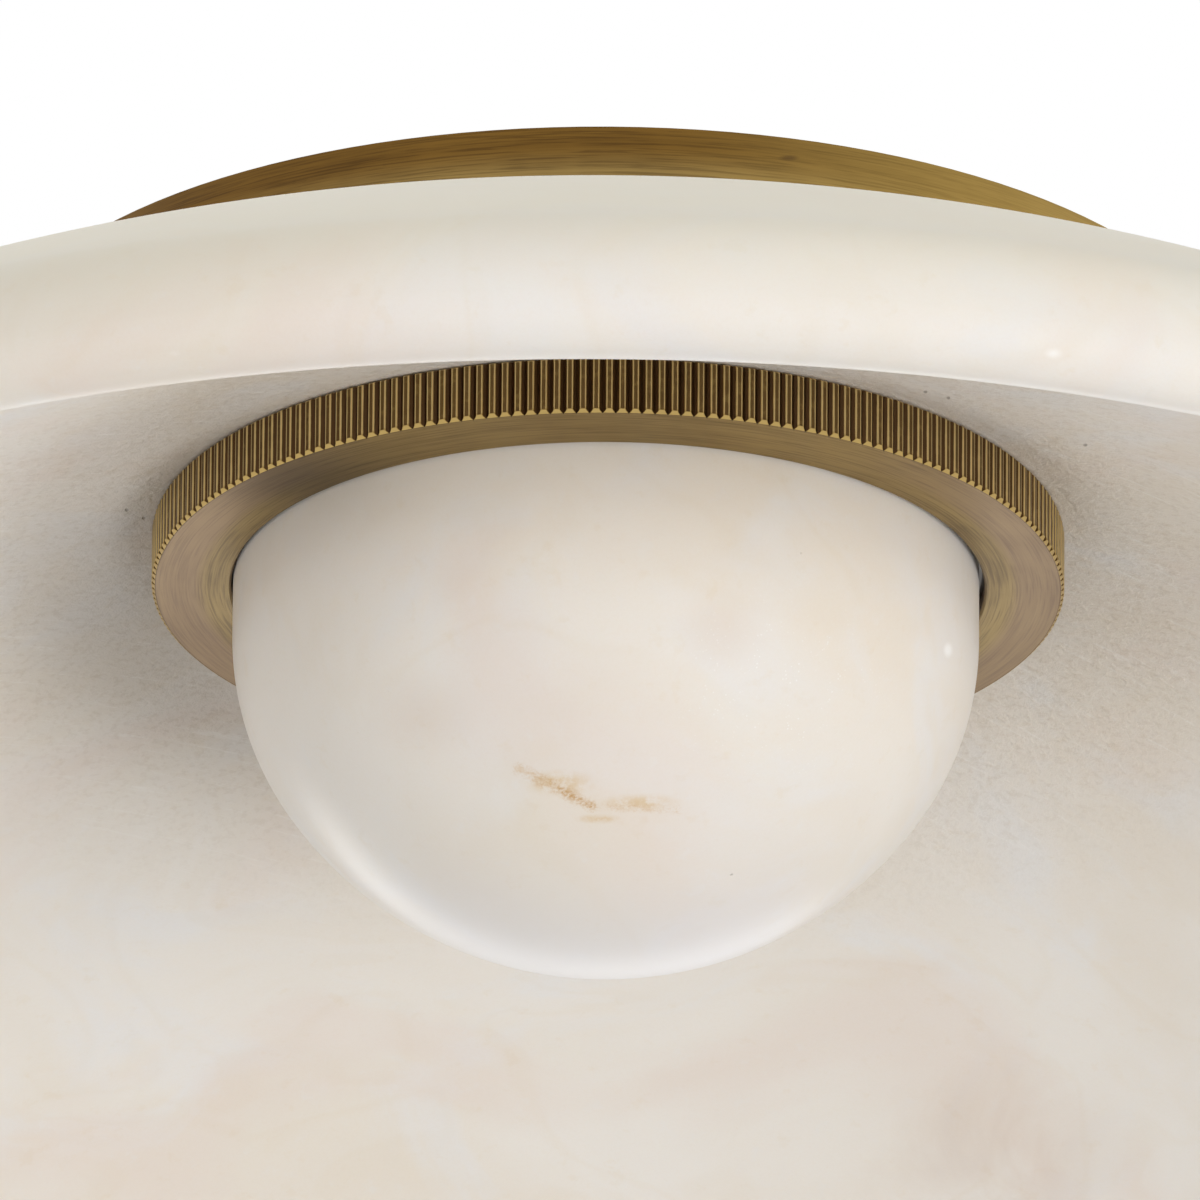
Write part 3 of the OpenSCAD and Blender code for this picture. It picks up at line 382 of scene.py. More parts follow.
class Sheet:
    """The node tree of one finish."""

    def __init__(self, owner):
        owner.use_nodes = True
        self.owner = owner
        self.tree = owner.node_tree
        self.tree.nodes.clear()

    def node(self, kind, settings=None, values=None, out=0):
        """Adds a node, sets it up, feeds its sockets and gives back one of its outputs."""
        made = self.tree.nodes.new(kind)
        for name, setting in (settings or {}).items():
            setattr(made, name, setting)
        for name, value in (values or {}).items():
            socket = made.inputs[name]
            if isinstance(value, Value):
                self.tree.links.new(value.socket, socket)
            elif hasattr(value, "__len__") and len(value) < len(socket.default_value):
                socket.default_value = (*value, 1.0)
            else:
                socket.default_value = value
        return Value(self, made.outputs[out]) if made.outputs else None

    def math(self, operation, *values, clamp=False):
        settings = {"operation": operation, "use_clamp": clamp}
        return self.node("ShaderNodeMath", settings, dict(enumerate(values)))

    def highest(self, *values):
        found, *others = values
        for value in others:
            found = self.math("MAXIMUM", found, value)
        return found

    def blend(self, share, a, b):
        """Colour a where share is 0 and colour b where it is 1."""
        return self.node("ShaderNodeMix", {"data_type": "RGBA"}, {0: share, 6: a, 7: b}, out=2)

    def tint(self, share, a, b):
        """Colour a multiplied by colour b, as far as share says."""
        settings = {"data_type": "RGBA", "blend_type": "MULTIPLY"}
        return self.node("ShaderNodeMix", settings, {0: share, 6: a, 7: b}, out=2)

    def soft_step(self, value, low, high):
        """Turns smoothly from 0 to 1 as value goes from low to high, which may be the lesser."""
        return self.node(
            "ShaderNodeMapRange",
            {"interpolation_type": "SMOOTHSTEP"},
            {"Value": value, "From Min": low, "From Max": high},
        )

    def place(self):
        """The point on the object, in metres."""
        return self.node("ShaderNodeTexCoord", out=3)

    def parts(self, point):
        made = self.node("ShaderNodeSeparateXYZ", values={0: point})
        return [Value(self, output) for output in made.socket.node.outputs]

    def point(self, x, y, z):
        return self.node("ShaderNodeCombineXYZ", values={0: x, 1: y, 2: z})

    def vector(self, operation, a, b, out=0):
        return self.node("ShaderNodeVectorMath", {"operation": operation}, {0: a, 1: b}, out)

    def noise(self, point, scale, detail=3.0, rough=0.5, warp=0.0, out=0):
        values = {
            "Vector": point, "Scale": scale, "Detail": detail, "Roughness": rough,
            "Distortion": warp,
        }
        return self.node("ShaderNodeTexNoise", values=values, out=out)

    def grains(self, point, scale, out=0):
        """Cells of random size: the distance from each cell's middle, or its colour with out=1."""
        return self.node("ShaderNodeTexVoronoi", values={"Vector": point, "Scale": scale}, out=out)

    def channel(self, colour, out=0):
        """The red, green or blue of a colour: 0, 1 or 2."""
        return self.node("ShaderNodeSeparateColor", values={0: colour}, out=out)

    def shape_note(self, name):
        """A number that the mesh carries at each corner, 0 where it carries none."""
        return self.node("ShaderNodeAttribute", {"attribute_name": name}, out=2)

    def shifted(self, point, scale, reach):
        """The point moved about by up to half of reach, so that what is laid on it meanders."""
        colours = self.noise(point, scale, detail=2.0, out=1)
        moved = self.vector("SUBTRACT", colours, (0.5, 0.5, 0.5))
        moved = self.vector("MULTIPLY", moved, (reach, reach, reach))
        return self.vector("ADD", point, moved)

    def relief(self, height, depth, strength, below=None):
        """A bump of that depth in metres, on top of another one where below is given."""
        values = {"Strength": strength, "Distance": depth, "Height": height}
        if below is not None:
            values["Normal"] = below
        return self.node("ShaderNodeBump", values=values)

    def finish(self, base, roughness, bump, **constants):
        """Ends the sheet with one shader. Constants are named as its sockets, with _ for space."""
        values = {"Base Color": base, "Roughness": roughness, "Normal": bump}
        values.update({name.replace("_", " "): value for name, value in constants.items()})
        shader = self.node("ShaderNodeBsdfPrincipled", values=values)
        self.node("ShaderNodeOutputMaterial", values={"Surface": shader})
        return self.owner


def new_sheet(name):
    """An empty sheet of that name, and the point on the object."""
    sheet = Sheet(bpy.data.materials.new(name))
    return sheet, sheet.place()


def round_axes(sheet, point):
    """The point's x, y and height, and its distance from the light's own axis."""
    x, y, z = sheet.parts(point)
    return x, y, z, sheet.math("SQRT", x * x + y * y)


def brush_marks(sheet, point, long, fine, detail=3.0):
    """Marks that run round the axis: long is their length and fine their width, in metres."""
    x, y, z, radius = round_axes(sheet, point)
    laid = sheet.point(x * (1 / long), y * (1 / long), (radius + z) * (1 / fine))
    return sheet.noise(laid, 1.0, detail=detail, rough=0.55)


def browned_face(sheet, point, fine):
    """Gold brass under a brown that comes and goes, with brush marks and small stains."""
    tones = bpy.context.scene.brass_colours
    broad = brush_marks(sheet, point, long=0.09, fine=0.0028, detail=2.0)
    clouds = sheet.noise(point, 14.0, detail=4.0, rough=0.6, warp=0.6)
    brown = sheet.soft_step(clouds * 0.7 + broad * 0.3, 0.36, 0.64)
    face = sheet.blend(brown * 0.75, tones.gold, tones.umber)
    face = sheet.blend(sheet.soft_step(fine, 0.46, 0.66) * 0.42, face, tones.shade)
    face = sheet.blend(sheet.soft_step(fine, 0.46, 0.32) * 0.4, face, tones.gold)
    stains = sheet.soft_step(sheet.noise(point, 130.0, rough=0.6), 0.69, 0.78)
    return sheet.blend(stains * 0.35, face, tones.shade), brown


def aged_places(sheet, point, face):
    """Painted shade and light on the canopy, painted reflection on the ring's sides and left."""
    tones = bpy.context.scene.brass_colours
    picture = Picture(sheet, point)
    x, _, height, radius = round_axes(sheet, point)
    # Painted shade: the canopy's upper wall is darkened, less so towards the right where the key
    # light falls.
    darker = 1.0 - sheet.soft_step(x, *CANOPY_MIDDLE_TO_RIGHT) * 0.8
    darker = sheet.soft_step(height, *CANOPY_UPPER_WALL) * darker
    face = sheet.tint(darker, face, tones.painted_canopy_shade)
    # Painted light: the canopy's lower wall is lightened towards the right.
    lighter = sheet.soft_step(height, *CANOPY_WALL) * sheet.soft_step(x, *CANOPY_RIGHT)
    face = sheet.blend(lighter * 0.45, face, tones.canopy_light)
    # Painted reflection: the ring's face turns pink-brown at its left and right sides, as if
    # mirroring the stone.
    painted_side_reflection = sheet.soft_step(abs(x), *RING_SIDES) * sheet.soft_step(radius, *RING_FACE_REACH)
    painted_side_reflection = painted_side_reflection * sheet.soft_step(height, *RING_HEIGHT)
    face = sheet.blend(painted_side_reflection * 0.5, face, tones.painted_side_reflection)
    # Painted dark reflection: an oval on the front left of the ring's face is darkened and cooled.
    dull = picture.patch(*RING_DARK_REFLECTION_PATCH, soft=1.0)
    dull = dull * sheet.soft_step(picture.depth, *RING_TURNED_FORWARD)
    face = sheet.tint(dull * 0.9, face, tones.painted_dark_reflection)
    blotch = picture.patch(*CANOPY_BLOTCH, soft=0.8)
    blotch = blotch * sheet.soft_step(height, *CANOPY_LOWER_WALL)
    return sheet.blend(blotch * 0.6, face, tones.shade)


def coin_edge(sheet, point, face, specks):
    """Lays the ring's teeth over the open face: brown tops, browner grooves and bright edges.

    Gives back the colour, and where the teeth aren't worn.
    """
    tones = bpy.context.scene.brass_colours
    x, _, height = sheet.parts(point)
    depth = sheet.shape_note("groove_depth")
    teeth = sheet.shape_note("tooth_zone")
    worn = sheet.shape_note("worn_edge")
    patchy = sheet.noise(point, 260.0, rough=0.65)
    rubbed = sheet.soft_step(specks * 0.6 + patchy * 0.5, 0.56, 0.72)
    tooth_top = sheet.blend(rubbed * 0.45, tones.tooth, tones.gold)
    # The tops of the teeth are darkened towards the left.
    duller = sheet.soft_step(x, *RING_LEFT)
    tooth_top = sheet.tint(duller * 0.6, tooth_top, tones.left_teeth_tint)
    shade = sheet.blend(teeth, face, sheet.blend(depth, tooth_top, tones.groove))
    # Worn brass and painted highlight: the edges along the teeth get a brighter colour than the
    # worn lower ends, so they shine where they mirror the dark dish.
    edge = sheet.soft_step(worn + (patchy - 0.5) * 0.7, 0.35, 0.8)
    low = sheet.soft_step(height, *RING_LOW_EDGE)
    edge_colour = sheet.blend(low, tones.worn_and_lit_tooth_edge, tones.worn)
    return sheet.blend(edge * 0.85, shade, edge_colour), teeth * (1.0 - edge)


def antique_brass():
    """Brushed brass, browned and lacquered; the teeth have worn edges lifted by painted highlight.
    """
    sheet, point = new_sheet("antique_brass_finish")
    fine = brush_marks(sheet, point, long=0.012, fine=0.0003)
    specks = sheet.noise(point, 900.0, detail=2.0)
    face, brown = browned_face(sheet, point, fine)
    face = aged_places(sheet, point, face)
    shade, unworn = coin_edge(sheet, point, face, specks)
    rough = 0.33 + fine * 0.12 + brown * 0.06 + unworn * 0.14
    scratches = sheet.relief(fine, depth=0.000012, strength=0.55)
    pits = sheet.relief(specks, depth=0.00002, strength=0.35, below=scratches)
    return sheet.finish(
        shade, rough, pits, Metallic=1.0, Anisotropic=0.55, Anisotropic_Rotation=0.25,
        Coat_Weight=0.15, Coat_Roughness=0.3,
    )


def thread_ridges(sheet, x, y, z, pitch):
    """Height of a thread that winds round the axis, 0 in its grooves and 1 on its crests."""
    turn = sheet.math("ARCTAN2", y, x) * (1 / (2 * math.pi))
    along = sheet.math("FRACT", z * (1 / pitch) + turn)
    return 1.0 - abs(along * 2.0 - 1.0)


def plain_brass():
    """Turned brass with its tool marks, and threads on the nipple and the gallery's skirt."""
    tones = bpy.context.scene.brass_colours
    sheet, point = new_sheet("plain_brass_finish")
    x, y, z, radius = round_axes(sheet, point)
    marks = brush_marks(sheet, point, long=0.02, fine=0.0003)
    clouds = sheet.noise(point, 60.0, detail=4.0, rough=0.6)
    spots = sheet.soft_step(sheet.noise(point, 420.0, detail=2.0), 0.66, 0.76)
    shade = sheet.blend(sheet.soft_step(clouds, 0.4, 0.7) * 0.5, tones.turned, tones.gold)
    shade = sheet.blend(marks * 0.22, shade, tones.umber)
    shade = sheet.blend(spots * 0.4, shade, tones.shade)
    on_skirt = sheet.soft_step(abs(radius - SKIRT_RADIUS), *THREAD_REACH)
    on_nipple = sheet.soft_step(abs(radius - NIPPLE_RADIUS), *THREAD_REACH)
    coarse = thread_ridges(sheet, x, y, z, SKIRT_PITCH)
    small = thread_ridges(sheet, x, y, z, NIPPLE_PITCH)
    thread = coarse * on_skirt * 1.6 + small * on_nipple
    cut = sheet.relief(thread, depth=0.0006, strength=0.9)
    turned = sheet.relief(marks, depth=0.00001, strength=0.5, below=cut)
    return sheet.finish(shade, 0.24 + marks * 0.12 + spots * 0.2, turned, Metallic=1.0)


def zinc_steel():
    """Zinc-plated steel with its spangle, rolling marks and small dull patches."""
    tones = bpy.context.scene.fitting_colours
    sheet, point = new_sheet("zinc_steel_finish")
    x, y, z = sheet.parts(point)
    rolled = sheet.noise(sheet.point(x * 60.0, y * 1600.0, z * 900.0), 1.0)
    spangle = sheet.channel(sheet.grains(point, 330.0, out=1))
    dull = sheet.soft_step(sheet.noise(point, 90.0, detail=4.0, rough=0.65), 0.5, 0.72)
    warm = sheet.noise(point, 35.0, detail=2.0)
    slate, straw, chalk = linear(150, 154, 160), linear(198, 188, 160), linear(128, 128, 126)
    shade = sheet.blend(spangle * 0.22, tones.zinc, slate)
    shade = sheet.blend(sheet.soft_step(warm, 0.45, 0.7) * 0.3, shade, straw)
    shade = sheet.blend(dull * 0.35, shade, chalk)
    rough = 0.26 + spangle * 0.08 + dull * 0.2 + rolled * 0.06
    bump = sheet.relief(spangle, depth=0.000006, strength=0.6)
    bump = sheet.relief(rolled, depth=0.000008, strength=0.5, below=bump)
    return sheet.finish(shade, rough, bump, Metallic=1.0)


def plain_aluminium():
    """Turned aluminium with fine rings and a few dark tool marks."""
    tones = bpy.context.scene.fitting_colours
    sheet, point = new_sheet("plain_aluminium_finish")
    marks = brush_marks(sheet, point, long=0.05, fine=0.00022)
    broad = brush_marks(sheet, point, long=0.08, fine=0.003, detail=2.0)
    haze = sheet.noise(point, 70.0, detail=4.0)
    grey, dark_grey = linear(158, 160, 164), linear(136, 138, 142)
    shade = sheet.blend(marks * 0.3, tones.aluminium, grey)
    shade = sheet.blend(sheet.soft_step(broad, 0.55, 0.75) * 0.25, shade, dark_grey)
    bump = sheet.relief(marks, depth=0.000012, strength=0.6)
    rough = 0.3 + marks * 0.12 + haze * 0.08
    return sheet.finish(
        shade, rough, bump, Metallic=1.0, Anisotropic=0.5, Anisotropic_Rotation=0.25
    )


def tinned_copper():
    """Tin plate over copper, thin enough at the high spots for the copper to show."""
    tones = bpy.context.scene.fitting_colours
    sheet, point = new_sheet("tinned_copper_finish")
    cover = sheet.noise(point, 500.0, detail=4.0, rough=0.6)
    copper = linear(186, 116, 84)
    shade = sheet.blend(sheet.soft_step(cover, 0.6, 0.72) * 0.55, tones.tin, copper)
    bump = sheet.relief(cover, depth=0.00002, strength=0.5)
    return sheet.finish(shade, 0.3 + cover * 0.15, bump, Metallic=1.0)


def painted_screw():
    """Green-dyed steel screws, rubbed to bare metal in places."""
    tones = bpy.context.scene.fitting_colours
    sheet, point = new_sheet("green_steel_finish")
    rubbed = sheet.soft_step(sheet.noise(point, 700.0, detail=4.0, rough=0.65), 0.58, 0.68)
    shade = sheet.blend(rubbed, tones.green, tones.zinc)
    bump = sheet.relief(rubbed, depth=0.00001, strength=0.6)
    return sheet.finish(shade, 0.34 - rubbed * 0.08, bump, Metallic=0.85)


def felt():
    """Pressed grey felt: matted fibres with lighter and darker strands."""
    tones = bpy.context.scene.fitting_colours
    sheet, point = new_sheet("grey_felt_finish")
    point = sheet.shifted(point, scale=260.0, reach=0.003)
    x, y, z = sheet.parts(point)
    along = sheet.point(x * 1900.0, y * 420.0, z * 1900.0)
    across = sheet.point(x * 420.0, y * 1900.0, z * 1900.0)
    strands = sheet.noise(along, 1.0, detail=4.0, rough=0.7)
    crossed = sheet.noise(across, 1.0, detail=4.0, rough=0.7)
    fibres = sheet.highest(strands, crossed)
    dark_strand, pale_strand = linear(104, 104, 102), linear(176, 174, 168)
    shade = sheet.blend(sheet.soft_step(fibres, 0.45, 0.7), dark_strand, tones.felt)
    shade = sheet.blend(sheet.soft_step(strands, 0.64, 0.74) * 0.6, shade, pale_strand)
    bump = sheet.relief(fibres, depth=0.00025, strength=0.8)
    return sheet.finish(shade, 0.95, bump, Sheen_Weight=0.35, Sheen_Roughness=0.6)


def cork():
    """Bonded cork: packed granules of several browns with dark seams."""
    tones = bpy.context.scene.fitting_colours
    sheet, point = new_sheet("cork_finish")
    point = sheet.shifted(point, scale=500.0, reach=0.0012)
    granules = 620.0
    tint = sheet.channel(sheet.grains(point, granules, out=1))
    seam = sheet.node(
        "ShaderNodeTexVoronoi",
        {"feature": "DISTANCE_TO_EDGE"},
        {"Vector": point, "Scale": granules},
    )
    bark, dark_seam = linear(142, 98, 60), linear(84, 54, 34)
    shade = sheet.blend(tint * 0.8, tones.cork, bark)
    shade = sheet.blend(sheet.soft_step(seam, 0.08, 0.0) * 0.8, shade, dark_seam)
    bump = sheet.relief(sheet.soft_step(seam, 0.0, 0.2), depth=0.00015, strength=0.8)
    return sheet.finish(shade, 0.85, bump)


def moulded(name, main, other, rough, grain=1500.0, **constants):
    """Moulded plastic or rubber: an eroded grain, faint flow lines and light handling marks."""
    sheet, point = new_sheet(name)
    x, y, z = sheet.parts(point)
    texture = sheet.noise(point, grain, rough=0.6)
    drawn = sheet.point(x * 90.0, y * 40.0, z * 240.0)
    flow = sheet.noise(drawn, 1.0, detail=4.0, rough=0.6, warp=1.2)
    rubbed = sheet.soft_step(sheet.noise(point, 240.0, detail=4.0, rough=0.7), 0.58, 0.74)
    shade = sheet.blend(sheet.soft_step(flow, 0.35, 0.7) * 0.5, main, other)
    shade = sheet.blend(rubbed * 0.3, shade, other)
    bump = sheet.relief(texture, depth=0.00003, strength=0.55)
    return sheet.finish(shade, rough + texture * 0.12 - rubbed * 0.08, bump, **constants)


def insulation(name, main, other):
    """Drawn wire insulation: a soft gloss, specks of dust and a slight waviness."""
    sheet, point = new_sheet(name)
    waves = sheet.noise(point, 320.0, detail=2.0)
    dust = sheet.noise(point, 1800.0, rough=0.6)
    shade = sheet.blend(sheet.soft_step(waves, 0.4, 0.7) * 0.6, main, other)
    dust_grey = linear(168, 164, 156)
    shade = sheet.blend(sheet.soft_step(dust, 0.62, 0.72) * 0.2, shade, dust_grey)
    bump = sheet.relief(waves, depth=0.00008, strength=0.5)
    return sheet.finish(shade, 0.34 + dust * 0.14, bump)


def circuit_board(name, mask, track, scale, rough):
    """A coated board: straight tracks under the coating, tinned pads and the board's weave."""
    sheet, point = new_sheet(name)
    x, y, _ = sheet.parts(point)
    flat = sheet.point(x * scale, y * scale, 0.0)
    cells = sheet.node(
        "ShaderNodeTexBrick",
        {"offset": 0.5, "offset_frequency": 2, "squash_frequency": 3, "squash": 0.6},
        {
            "Vector": flat, "Scale": 1.0, "Mortar Size": 0.035, "Mortar Smooth": 0.2,
            "Brick Width": 0.9, "Row Height": 0.34,
        },
        out=1,
    )
    pads = sheet.node(
        "ShaderNodeTexVoronoi",
        {"distance": "CHEBYCHEV"},
        {"Vector": flat, "Scale": 0.8, "Randomness": 0.55},
    )
    pad = sheet.soft_step(pads, 0.13, 0.11)
    weave = sheet.noise(point, 2600.0, detail=2.0)
    solder = linear(196, 190, 170)
    shade = sheet.blend(cells * 0.7, mask, track)
    shade = sheet.blend(pad * 0.85, shade, solder)
    height = sheet.highest(cells, pad) + weave * 0.15
    bump = sheet.relief(height, depth=0.00004, strength=0.6)
    return sheet.finish(shade, rough + weave * 0.12 - pad * 0.1, bump, Coat_Weight=0.25)


def thermal_pad():
    """Soft filled silicone with coarse grains of filler."""
    tones = bpy.context.scene.fitting_colours
    sheet, point = new_sheet("thermal_pad_finish")
    filler = sheet.noise(point, 2400.0, rough=0.7)
    press = sheet.noise(point, 120.0)
    pale_blue, dark_blue = linear(160, 174, 184), linear(104, 120, 134)
    shade = sheet.blend(sheet.soft_step(filler, 0.45, 0.7) * 0.6, tones.pad, pale_blue)
    shade = sheet.blend(sheet.soft_step(press, 0.5, 0.7) * 0.3, shade, dark_blue)
    return sheet.finish(shade, 0.75, sheet.relief(filler, depth=0.00004, strength=0.6))


def chip_face():
    """The chips' grainy yellow face, paler in patches."""
    tones = bpy.context.scene.fitting_colours
    sheet, point = new_sheet("yellow_phosphor_finish")
    grain = sheet.noise(point, 4200.0, rough=0.7)
    patch = sheet.noise(point, 700.0, detail=2.0)
    amber, lemon = linear(214, 176, 52), linear(242, 226, 140)
    shade = sheet.blend(sheet.soft_step(grain, 0.42, 0.66) * 0.5, tones.phosphor, amber)
    shade = sheet.blend(sheet.soft_step(patch, 0.5, 0.66) * 0.4, shade, lemon)
    bump = sheet.relief(grain, depth=0.00003, strength=0.6)
    return sheet.finish(shade, 0.38, bump, Coat_Weight=0.5, Coat_Roughness=0.15)


def clear_silicone():
    """Milky clear silicone with faint bubbles and haze."""
    tones = bpy.context.scene.fitting_colours
    sheet, point = new_sheet("clear_silicone_finish")
    bubbles = sheet.grains(point, 1500.0)
    haze = sheet.noise(point, 260.0)
    milky = linear(206, 206, 200)
    shade = sheet.blend(sheet.soft_step(haze, 0.4, 0.7) * 0.5, tones.silicone, milky)
    bump = sheet.relief(sheet.soft_step(bubbles, 0.12, 0.3), depth=0.00004, strength=0.5)
    return sheet.finish(
        shade, 0.3 + haze * 0.15, bump, Subsurface_Weight=0.4, Subsurface_Scale=0.002,
        Transmission_Weight=0.25,
    )


def pressed_fibre():
    """Brown fibre board: long strands in thin layers."""
    tones = bpy.context.scene.fitting_colours
    sheet, point = new_sheet("brown_fibre_finish")
    point = sheet.shifted(point, scale=180.0, reach=0.002)
    x, y, z = sheet.parts(point)
    drawn = sheet.point(x * 1500.0, y * 260.0, z * 3000.0)
    strands = sheet.noise(drawn, 1.0, detail=4.0, rough=0.65)
    layers = sheet.noise(sheet.point(x * 60.0, y * 60.0, z * 9000.0), 1.0, detail=2.0)
    dark_strand, pale_layer = linear(88, 56, 36), linear(150, 108, 74)
    shade = sheet.blend(sheet.soft_step(strands, 0.4, 0.66), dark_strand, tones.fibre)
    shade = sheet.blend(sheet.soft_step(layers, 0.5, 0.7) * 0.4, shade, pale_layer)
    return sheet.finish(shade, 0.72, sheet.relief(strands, depth=0.00005, strength=0.6))


class Picture:
    """Places marks where the picture shows them, on a plane that is fixed to the light."""

    def __init__(self, sheet, point):
        studio = bpy.context.scene.studio_sizes
        ring = bpy.context.scene.ring_sizes
        right, up, away = camera_axes(studio)
        pixels = studio.ring_pixels / ring.radius
        from_ring = sheet.vector("SUBTRACT", point, Vector((0, 0, -ring.underside)))
        rightwards = sheet.vector("DOT_PRODUCT", from_ring, right, out=1)
        upwards = sheet.vector("DOT_PRODUCT", from_ring, up, out=1)
        self.depth = sheet.vector("DOT_PRODUCT", from_ring, away, out=1)
        nearness = 1.0 + self.depth * (1 / studio.distance)
        self.sheet = sheet
        self.across = rightwards / nearness * pixels + studio.across
        self.down = studio.down - upwards / nearness * pixels

    def patch(self, across, down, wide, high, soft):
        """1 in the middle of an oval of that half width and half height, 0 outside it."""
        sideways = (self.across - across) * (1 / wide)
        upright = (self.down - down) * (1 / high)
        reach = self.sheet.math("SQRT", sideways * sideways + upright * upright)
        return self.sheet.soft_step(reach, 1.0, 1.0 - soft)

    def stroke(self, start, end, width):
        """1 along a straight line between two places, 0 beyond that width on either side."""
        along = Vector((end[0] - start[0], end[1] - start[1]))
        whole = along.length
        x = self.across - start[0]
        y = self.down - start[1]
        share = (x * (along.x / whole) + y * (along.y / whole)) * (1 / whole)
        share = self.sheet.math("ADD", share, 0.0, clamp=True)
        off_x = x - share * along.x
        off_y = y - share * along.y
        reach = self.sheet.math("SQRT", off_x * off_x + off_y * off_y)
        return self.sheet.soft_step(reach, width, 0.0)


def stone_clouds(sheet, point, seed):
    """The ground of the alabaster: cream with drifting beige, rose and cool white clouds."""
    tones = bpy.context.scene.stone_colours
    moved = sheet.vector("ADD", point, (seed, seed * 0.7, seed * 1.3))
    drift = sheet.shifted(moved, scale=9.0, reach=0.09)
    large = sheet.noise(drift, 11.0, detail=4.0, warp=0.4)
    middle = sheet.noise(drift, 27.0, detail=4.0, rough=0.55, warp=0.8)
    pink = sheet.channel(sheet.noise(drift, 15.0, warp=0.5, out=1), out=2)
    ground = sheet.blend(sheet.soft_step(large, 0.4, 0.66) * 0.9, tones.cream, tones.beige)
    ground = sheet.blend(sheet.soft_step(middle, 0.48, 0.68) * 0.8, ground, tones.cool)
    ground = sheet.blend(sheet.soft_step(pink, 0.5, 0.68) * 0.55, ground, tones.rose)
    veil = abs(sheet.noise(drift, 19.0, warp=1.0) - 0.5)
    ground = sheet.tint(sheet.soft_step(veil, 0.05, 0.0) * 0.07, ground, tones.ochre)
    return ground, large, middle


def stone_grain(sheet, point, ground):
    """Fine crystals, dull flecks, pits and turning marks on top of the ground."""
    tones = bpy.context.scene.stone_colours
    x, y, z = sheet.parts(point)
    crystal = sheet.noise(point, 1900.0, rough=0.6)
    fleck = sheet.noise(point, 210.0, detail=4.0, rough=0.62)
    shade = sheet.tint((1.0 - sheet.soft_step(crystal, 0.3, 0.62)) * 0.03, ground, tones.rust)
    shade = sheet.blend(sheet.soft_step(fleck, 0.58, 0.75) * 0.28, shade, tones.cool)
    shade = sheet.tint(sheet.soft_step(fleck, 0.42, 0.28) * 0.12, shade, tones.ochre)
    cells = 95.0
    chosen = sheet.channel(sheet.grains(point, cells, out=1))
    pit = sheet.soft_step(sheet.grains(point, cells), 0.04, 0.015)
    pit = pit * sheet.soft_step(chosen, 0.86, 0.9)
    shade = sheet.blend(pit * 0.45, shade, tones.speck)
    turned = sheet.noise(sheet.point(x * 35.0, y * 35.0, z * 1500.0), 1.0, detail=2.0, rough=0.6)
    return shade, crystal, fleck, pit, turned


def dish_tones(sheet, point, picture, shade, middle, inside):
    """The blush at the back of the hollow, painted light at the dish's left and on its outside."""
    tones = bpy.context.scene.stone_colours
    x, y, z = sheet.parts(point)
    blush = picture.patch(*DISH_BLUSH, soft=0.9) * sheet.soft_step(middle, 0.3, 0.6) * inside
    shade = sheet.tint(blush * sheet.soft_step(y, *HOLLOW_BACK) * 0.5, shade, tones.rose)
    # Painted light: the dish is paled towards its left, where the key light falls off.
    shade = sheet.blend(sheet.soft_step(x, *DISH_LEFT) * 0.6, shade, tones.painted_left_light)
    # Painted light: the outside is warmed and brightened, more at the front, in place of light
    # from above.
    outside = sheet.soft_step(z, *DISH_OUTSIDE_HEIGHT) * (1.0 - inside)
    share = 0.4 + sheet.soft_step(y, *DISH_BACK_TO_FRONT) * 0.35
    return sheet.blend(outside * share, shade, tones.crown)


def worked_and_shaded_hollow(sheet, point, picture, shade, hollow):
    """The stone round the ring: scratches, rougher cuts, painted shade and shadow, and small
    holes.

    Gives back the colour, the scratches, the cuts and the holes.
    """
    tones = bpy.context.scene.stone_colours
    x, y, z, radius = round_axes(sheet, point)
    lines = sheet.point((x + y * 0.6) * 28.0, (y - x * 0.6) * 620.0, z * 300.0)
    scored = sheet.noise(sheet.shifted(lines, scale=0.5, reach=2.5), 1.0, detail=4.0, rough=0.7)
    scored = sheet.soft_step(scored, 0.56, 0.68)
    shade = sheet.blend(scored * hollow * 0.4, shade, tones.score)
    cuts = sheet.noise(point, 620.0, detail=4.0, rough=0.7)
    worked_and_shaded = sheet.soft_step(cuts, 0.48, 0.66) * hollow
    # Painted shade: the stone darkens towards the ring, and more where it is cut rough.
    shade = sheet.tint(hollow * 0.4 + worked_and_shaded * 0.35, shade, tones.worked_and_shaded)
    # Painted shadow: the stone left of the ring is darkened where the dome and ring shade it.
    ring_shadow = hollow * sheet.soft_step(x, *RING_SHADOW_LEFT) * sheet.soft_step(radius, *RING_SHADOW_REACH)
    shade = sheet.tint(ring_shadow, shade, tones.dust)
    holes = sheet.highest(*(picture.patch(*hole, soft=0.7) for hole in DISH_HOLES)) * hollow
    return sheet.blend(holes * 0.55, shade, tones.hole), scored, cuts, holes


